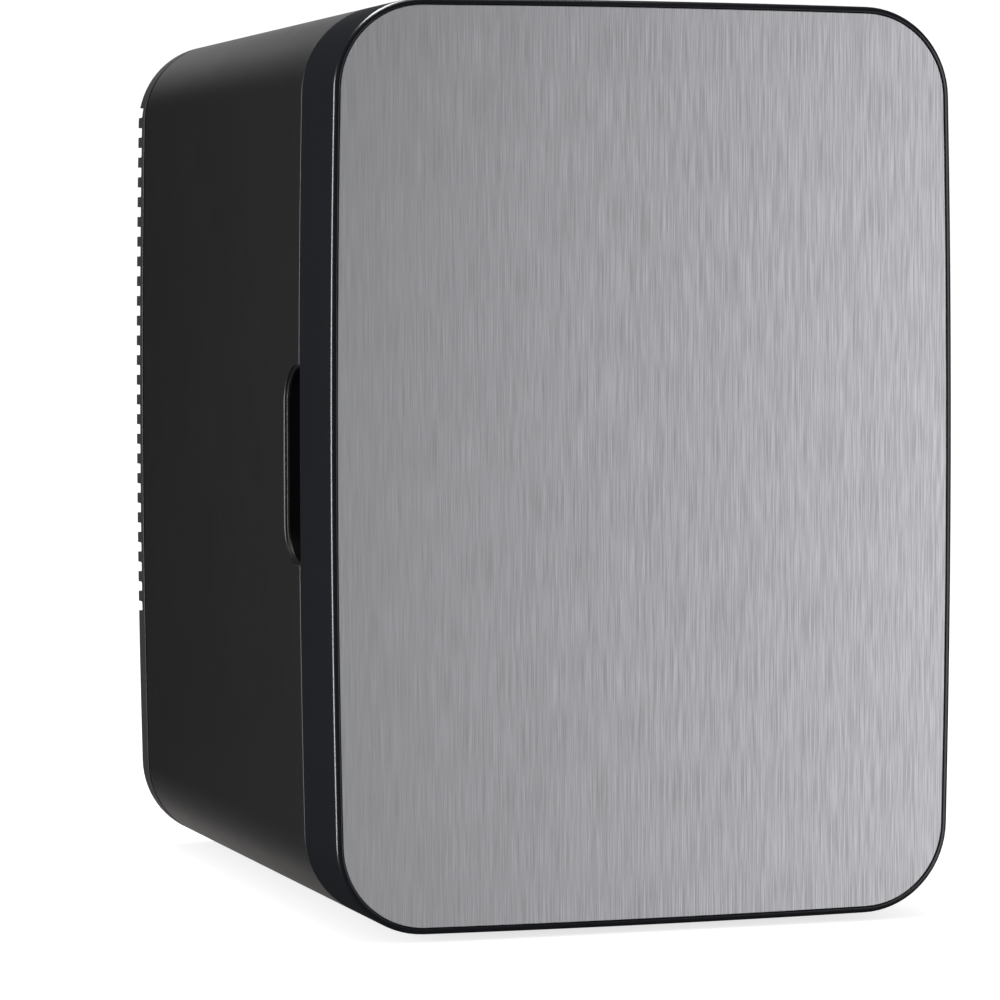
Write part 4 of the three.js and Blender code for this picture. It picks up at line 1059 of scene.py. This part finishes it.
def switch_slider():
    lo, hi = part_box("mode_switch_slider")
    x, z = middle_xz(lo, hi)
    base = block("mode_slider_button", (lo.x, lo.y, lo.z), (hi.x, lo.y + 3.6 * MM, hi.z), 0.4 * MM, 2)
    knob_lo, knob_hi = (x - 3.5 * MM, lo.y + 3 * MM, z - 2.6 * MM), (x + 3.5 * MM, hi.y, z + 2.6 * MM)
    add(base, block("knob", knob_lo, knob_hi, 0.5 * MM, 3))
    grips = []
    for i in range(-2, 3):
        place = (x + i * 1.3 * MM, hi.y + 0.05 * MM, 0)
        grips.append(turned("grip", [(0.35 * MM, z - 4 * MM), (0.35 * MM, z + 4 * MM)], place, "z", 12))
    cut(base, *grips)
    return piece(base, "mode_slider", "switch_white", LOOK["white"], "mode_switch_slider")


def indicator_light(name, look):
    lo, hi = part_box(name)
    profile = [(2.2 * MM, lo.y), (2.3 * MM, lo.y + 0.2 * MM), (2.3 * MM, lo.y + 1.2 * MM),
               (1.5 * MM, lo.y + 1.2 * MM), (1.5 * MM, hi.y - 1.3 * MM)]
    for i in range(1, 6):
        t = math.pi / 2 * i / 5.2
        profile.append((1.5 * MM * math.cos(t), hi.y - 1.3 * MM + 1.3 * MM * math.sin(t)))
    x, z = middle_xz(lo, hi)
    cap = turned(f"{name}_lens", profile, (x, 0, z), steps=32)
    return piece(cap, "cabinet", f"light_{look}", LOOK[look], name)


# ---- Assembly ----------------------------------------------------------------------------------
shell = cabinet_shell()
inner_liner()
cover = rear_cover()
door = door_shell()
steel = steel_panel()
door_liner()
gasket()
shelf()
fan_cover()
mains_inlet()
dc_socket()
switch_slider()
indicator_light("indicator_light_cold", "green")
indicator_light("indicator_light_warm", "red")
for level in ("upper", "lower"):
    door_bin(level)
    hinge_pin(level)
    for side in ("cabinet", "door"):
        hinge_leaf(side, level)
        for end in ("top", "bottom"):
            screw(f"hinge_screw_{side}_{level}_{end}", "x", side)
for n in range(1, 5):
    screw(f"rear_cover_screw_{n}", "y", "cabinet")
for place in ("front_left", "front_right", "rear_left", "rear_right"):
    foot(f"foot_{place}")
for prefix in ("cold", "hot"):
    fan_rotor(prefix, 7)
    fan_frame(prefix)

PLAIN = {"insulation_foam": "foam", "door_foam": "foam", "rear_partition": "dark"}
CARRIED = {
    "strike_plate": "zinc",
    "cold_heat_sink": "aluminium",
    "cold_block": "aluminium",
    "hot_heat_sink": "aluminium",
    "board_heat_sink": "aluminium",
    "peltier_module": "ceramic",
    "clamp_screw_1": "zinc",
    "clamp_screw_2": "zinc",
    "power_board": "board",
    "indicator_board": "board",
    "transformer": "winding",
    "capacitor": "dark",
    "mode_switch_body": "dark",
}
for node, look in (PLAIN | CARRIED).items():
    obj = frame["nodes"][node]
    obj.data.materials.clear()
    obj.data.materials.append(LOOK[look])
    if node in CARRIED:
        obj.modifiers.new("weld", "WELD").merge_threshold = 0.01 * MM
        bevel(obj, 0.25 * MM, 2, 45)


# ---- Stage -------------------------------------------------------------------------------------
def stage_material():
    s = Surface("pale_floor", 0.9).set("Specular IOR Level", 0.0)
    s.set("Emission Color", (1, 1, 1)).set("Emission Strength", 0.75)
    s.colour(s.blend(s.noise(3, 2), (0.42, 0.42, 0.42), (0.44, 0.44, 0.44)))
    return s.material


def floor():
    """A white floor that the glossy surfaces don't mirror, and that lets the low lights through."""
    bm = bmesh.new()
    bmesh.ops.create_grid(bm, x_segments=1, y_segments=1, size=30)
    obj = to_object("floor", bm)
    obj.data.materials.append(stage_material())
    obj.visible_glossy = False
    obj.visible_shadow = False


def softbox(name, place, target, size, power, colour=(1, 1, 1), subjects=()):
    """An area light. With subjects, it is kept to those objects, as studio flags would."""
    data = bpy.data.lights.new(name, "AREA")
    data.shape = "RECTANGLE"
    data.size, data.size_y = size
    data.energy = power
    data.color = colour
    obj = bpy.data.objects.new(name, data)
    bpy.context.scene.collection.objects.link(obj)
    obj.location = place
    obj.rotation_mode = "QUATERNION"
    obj.rotation_quaternion = (Vector(target) - Vector(place)).to_track_quat("-Z", "Y")
    if subjects:
        group = bpy.data.collections.new(name + "_subjects")
        for subject in subjects:
            group.objects.link(subject)
        obj.light_linking.receiver_collection = group


def studio():
    world = bpy.data.worlds.new("studio")
    bpy.context.scene.world = world
    world.use_nodes = True
    nodes, links = world.node_tree.nodes, world.node_tree.links
    nodes.clear()
    path = nodes.new("ShaderNodeLightPath")
    output = nodes.new("ShaderNodeOutputWorld")
    sky = {}
    skies = (("dome", (1, 1, 1), 0.85), ("mirror", (0.95, 0.97, 1.0), 0.02), ("seen", (1, 1, 1), 1.05))
    for key, colour, strength in skies:
        sky[key] = nodes.new("ShaderNodeBackground")
        sky[key].inputs["Color"].default_value = (*colour, 1)
        sky[key].inputs["Strength"].default_value = strength
    last = sky["dome"]
    for ray, key in (("Is Glossy Ray", "mirror"), ("Is Camera Ray", "seen")):
        mix = nodes.new("ShaderNodeMixShader")
        links.new(path.outputs[ray], mix.inputs[0])
        links.new(last.outputs[0], mix.inputs[1])
        links.new(sky[key].outputs[0], mix.inputs[2])
        last = mix
    links.new(last.outputs[0], output.inputs["Surface"])
    middle = Vector((CENTRE_X, 0, CENTRE_Z))
    softbox("front_right", (1.22, -1.27, 0.12), middle + Vector((0.10, -0.18, 0)), (1.3, 1.6), 12.4)
    softbox("left_strip", (-1.5, 0.05, 0.2), middle, (0.4, 0.9), 26)
    softbox("top", (-0.2, -0.1, 1.6), middle, (1.0, 1.0), 10)
    softbox("rear_top", (0.2, 1.2, 2.0), middle, (1.0, 0.8), 8)
    softbox("right_fill", (1.9, 0.3, 0.7), middle, (1.4, 1.0), 16, subjects=[shell, cover])
    softbox("rim_glow", (-0.4, 0.2, 1.6), middle, (1.0, 0.5), 30, subjects=[door])
    softbox("steel_fill", (-1.2, -1.3, -0.5), middle, (1.2, 1.2), 3.5, subjects=[steel])
    softbox("rear_glow", (0.2, 2.2, 1.0), middle, (1.2, 0.6), 1.8, subjects=[shell, cover])
    softbox("low_glow", (0.2, 2.0, -0.48), middle, (1.0, 0.5), 1.1, (1.0, 0.95, 0.92), [shell, cover])
    softbox("door_glow", (0.6, 2.0, -0.2), middle, (0.5, 0.3), 0.25, (1.0, 0.95, 0.92), [door])


def camera():
    """A long lens from the front left, a little above the middle of the object."""
    yaw, pitch, roll = (math.radians(a) for a in (17.822, 2.73, -0.124))
    aim = Vector((CENTRE_X - 68.45 * MM, FRONT_Y, SHELL_LO.z + 188 * MM))
    distance = 1834.4 * MM
    ahead = Vector((math.sin(yaw) * math.cos(pitch), math.cos(yaw) * math.cos(pitch), -math.sin(pitch)))
    level = Vector((math.cos(yaw), -math.sin(yaw), 0))
    upright = level.cross(ahead)
    right = level * math.cos(roll) + upright * math.sin(roll)
    up = upright * math.cos(roll) - level * math.sin(roll)
    data = bpy.data.cameras.new("photo_camera")
    data.lens = 152.95
    data.clip_start, data.clip_end = 0.05, 60
    obj = bpy.data.objects.new("photo_camera", data)
    bpy.context.scene.collection.objects.link(obj)
    place = aim - ahead * distance
    obj.matrix_world = Matrix((
        (right.x, up.x, -ahead.x, place.x),
        (right.y, up.y, -ahead.y, place.y),
        (right.z, up.z, -ahead.z, place.z),
        (0, 0, 0, 1),
    ))
    bpy.context.scene.camera = obj


floor()
studio()
camera()
bpy.context.scene.view_settings.view_transform = "Standard"
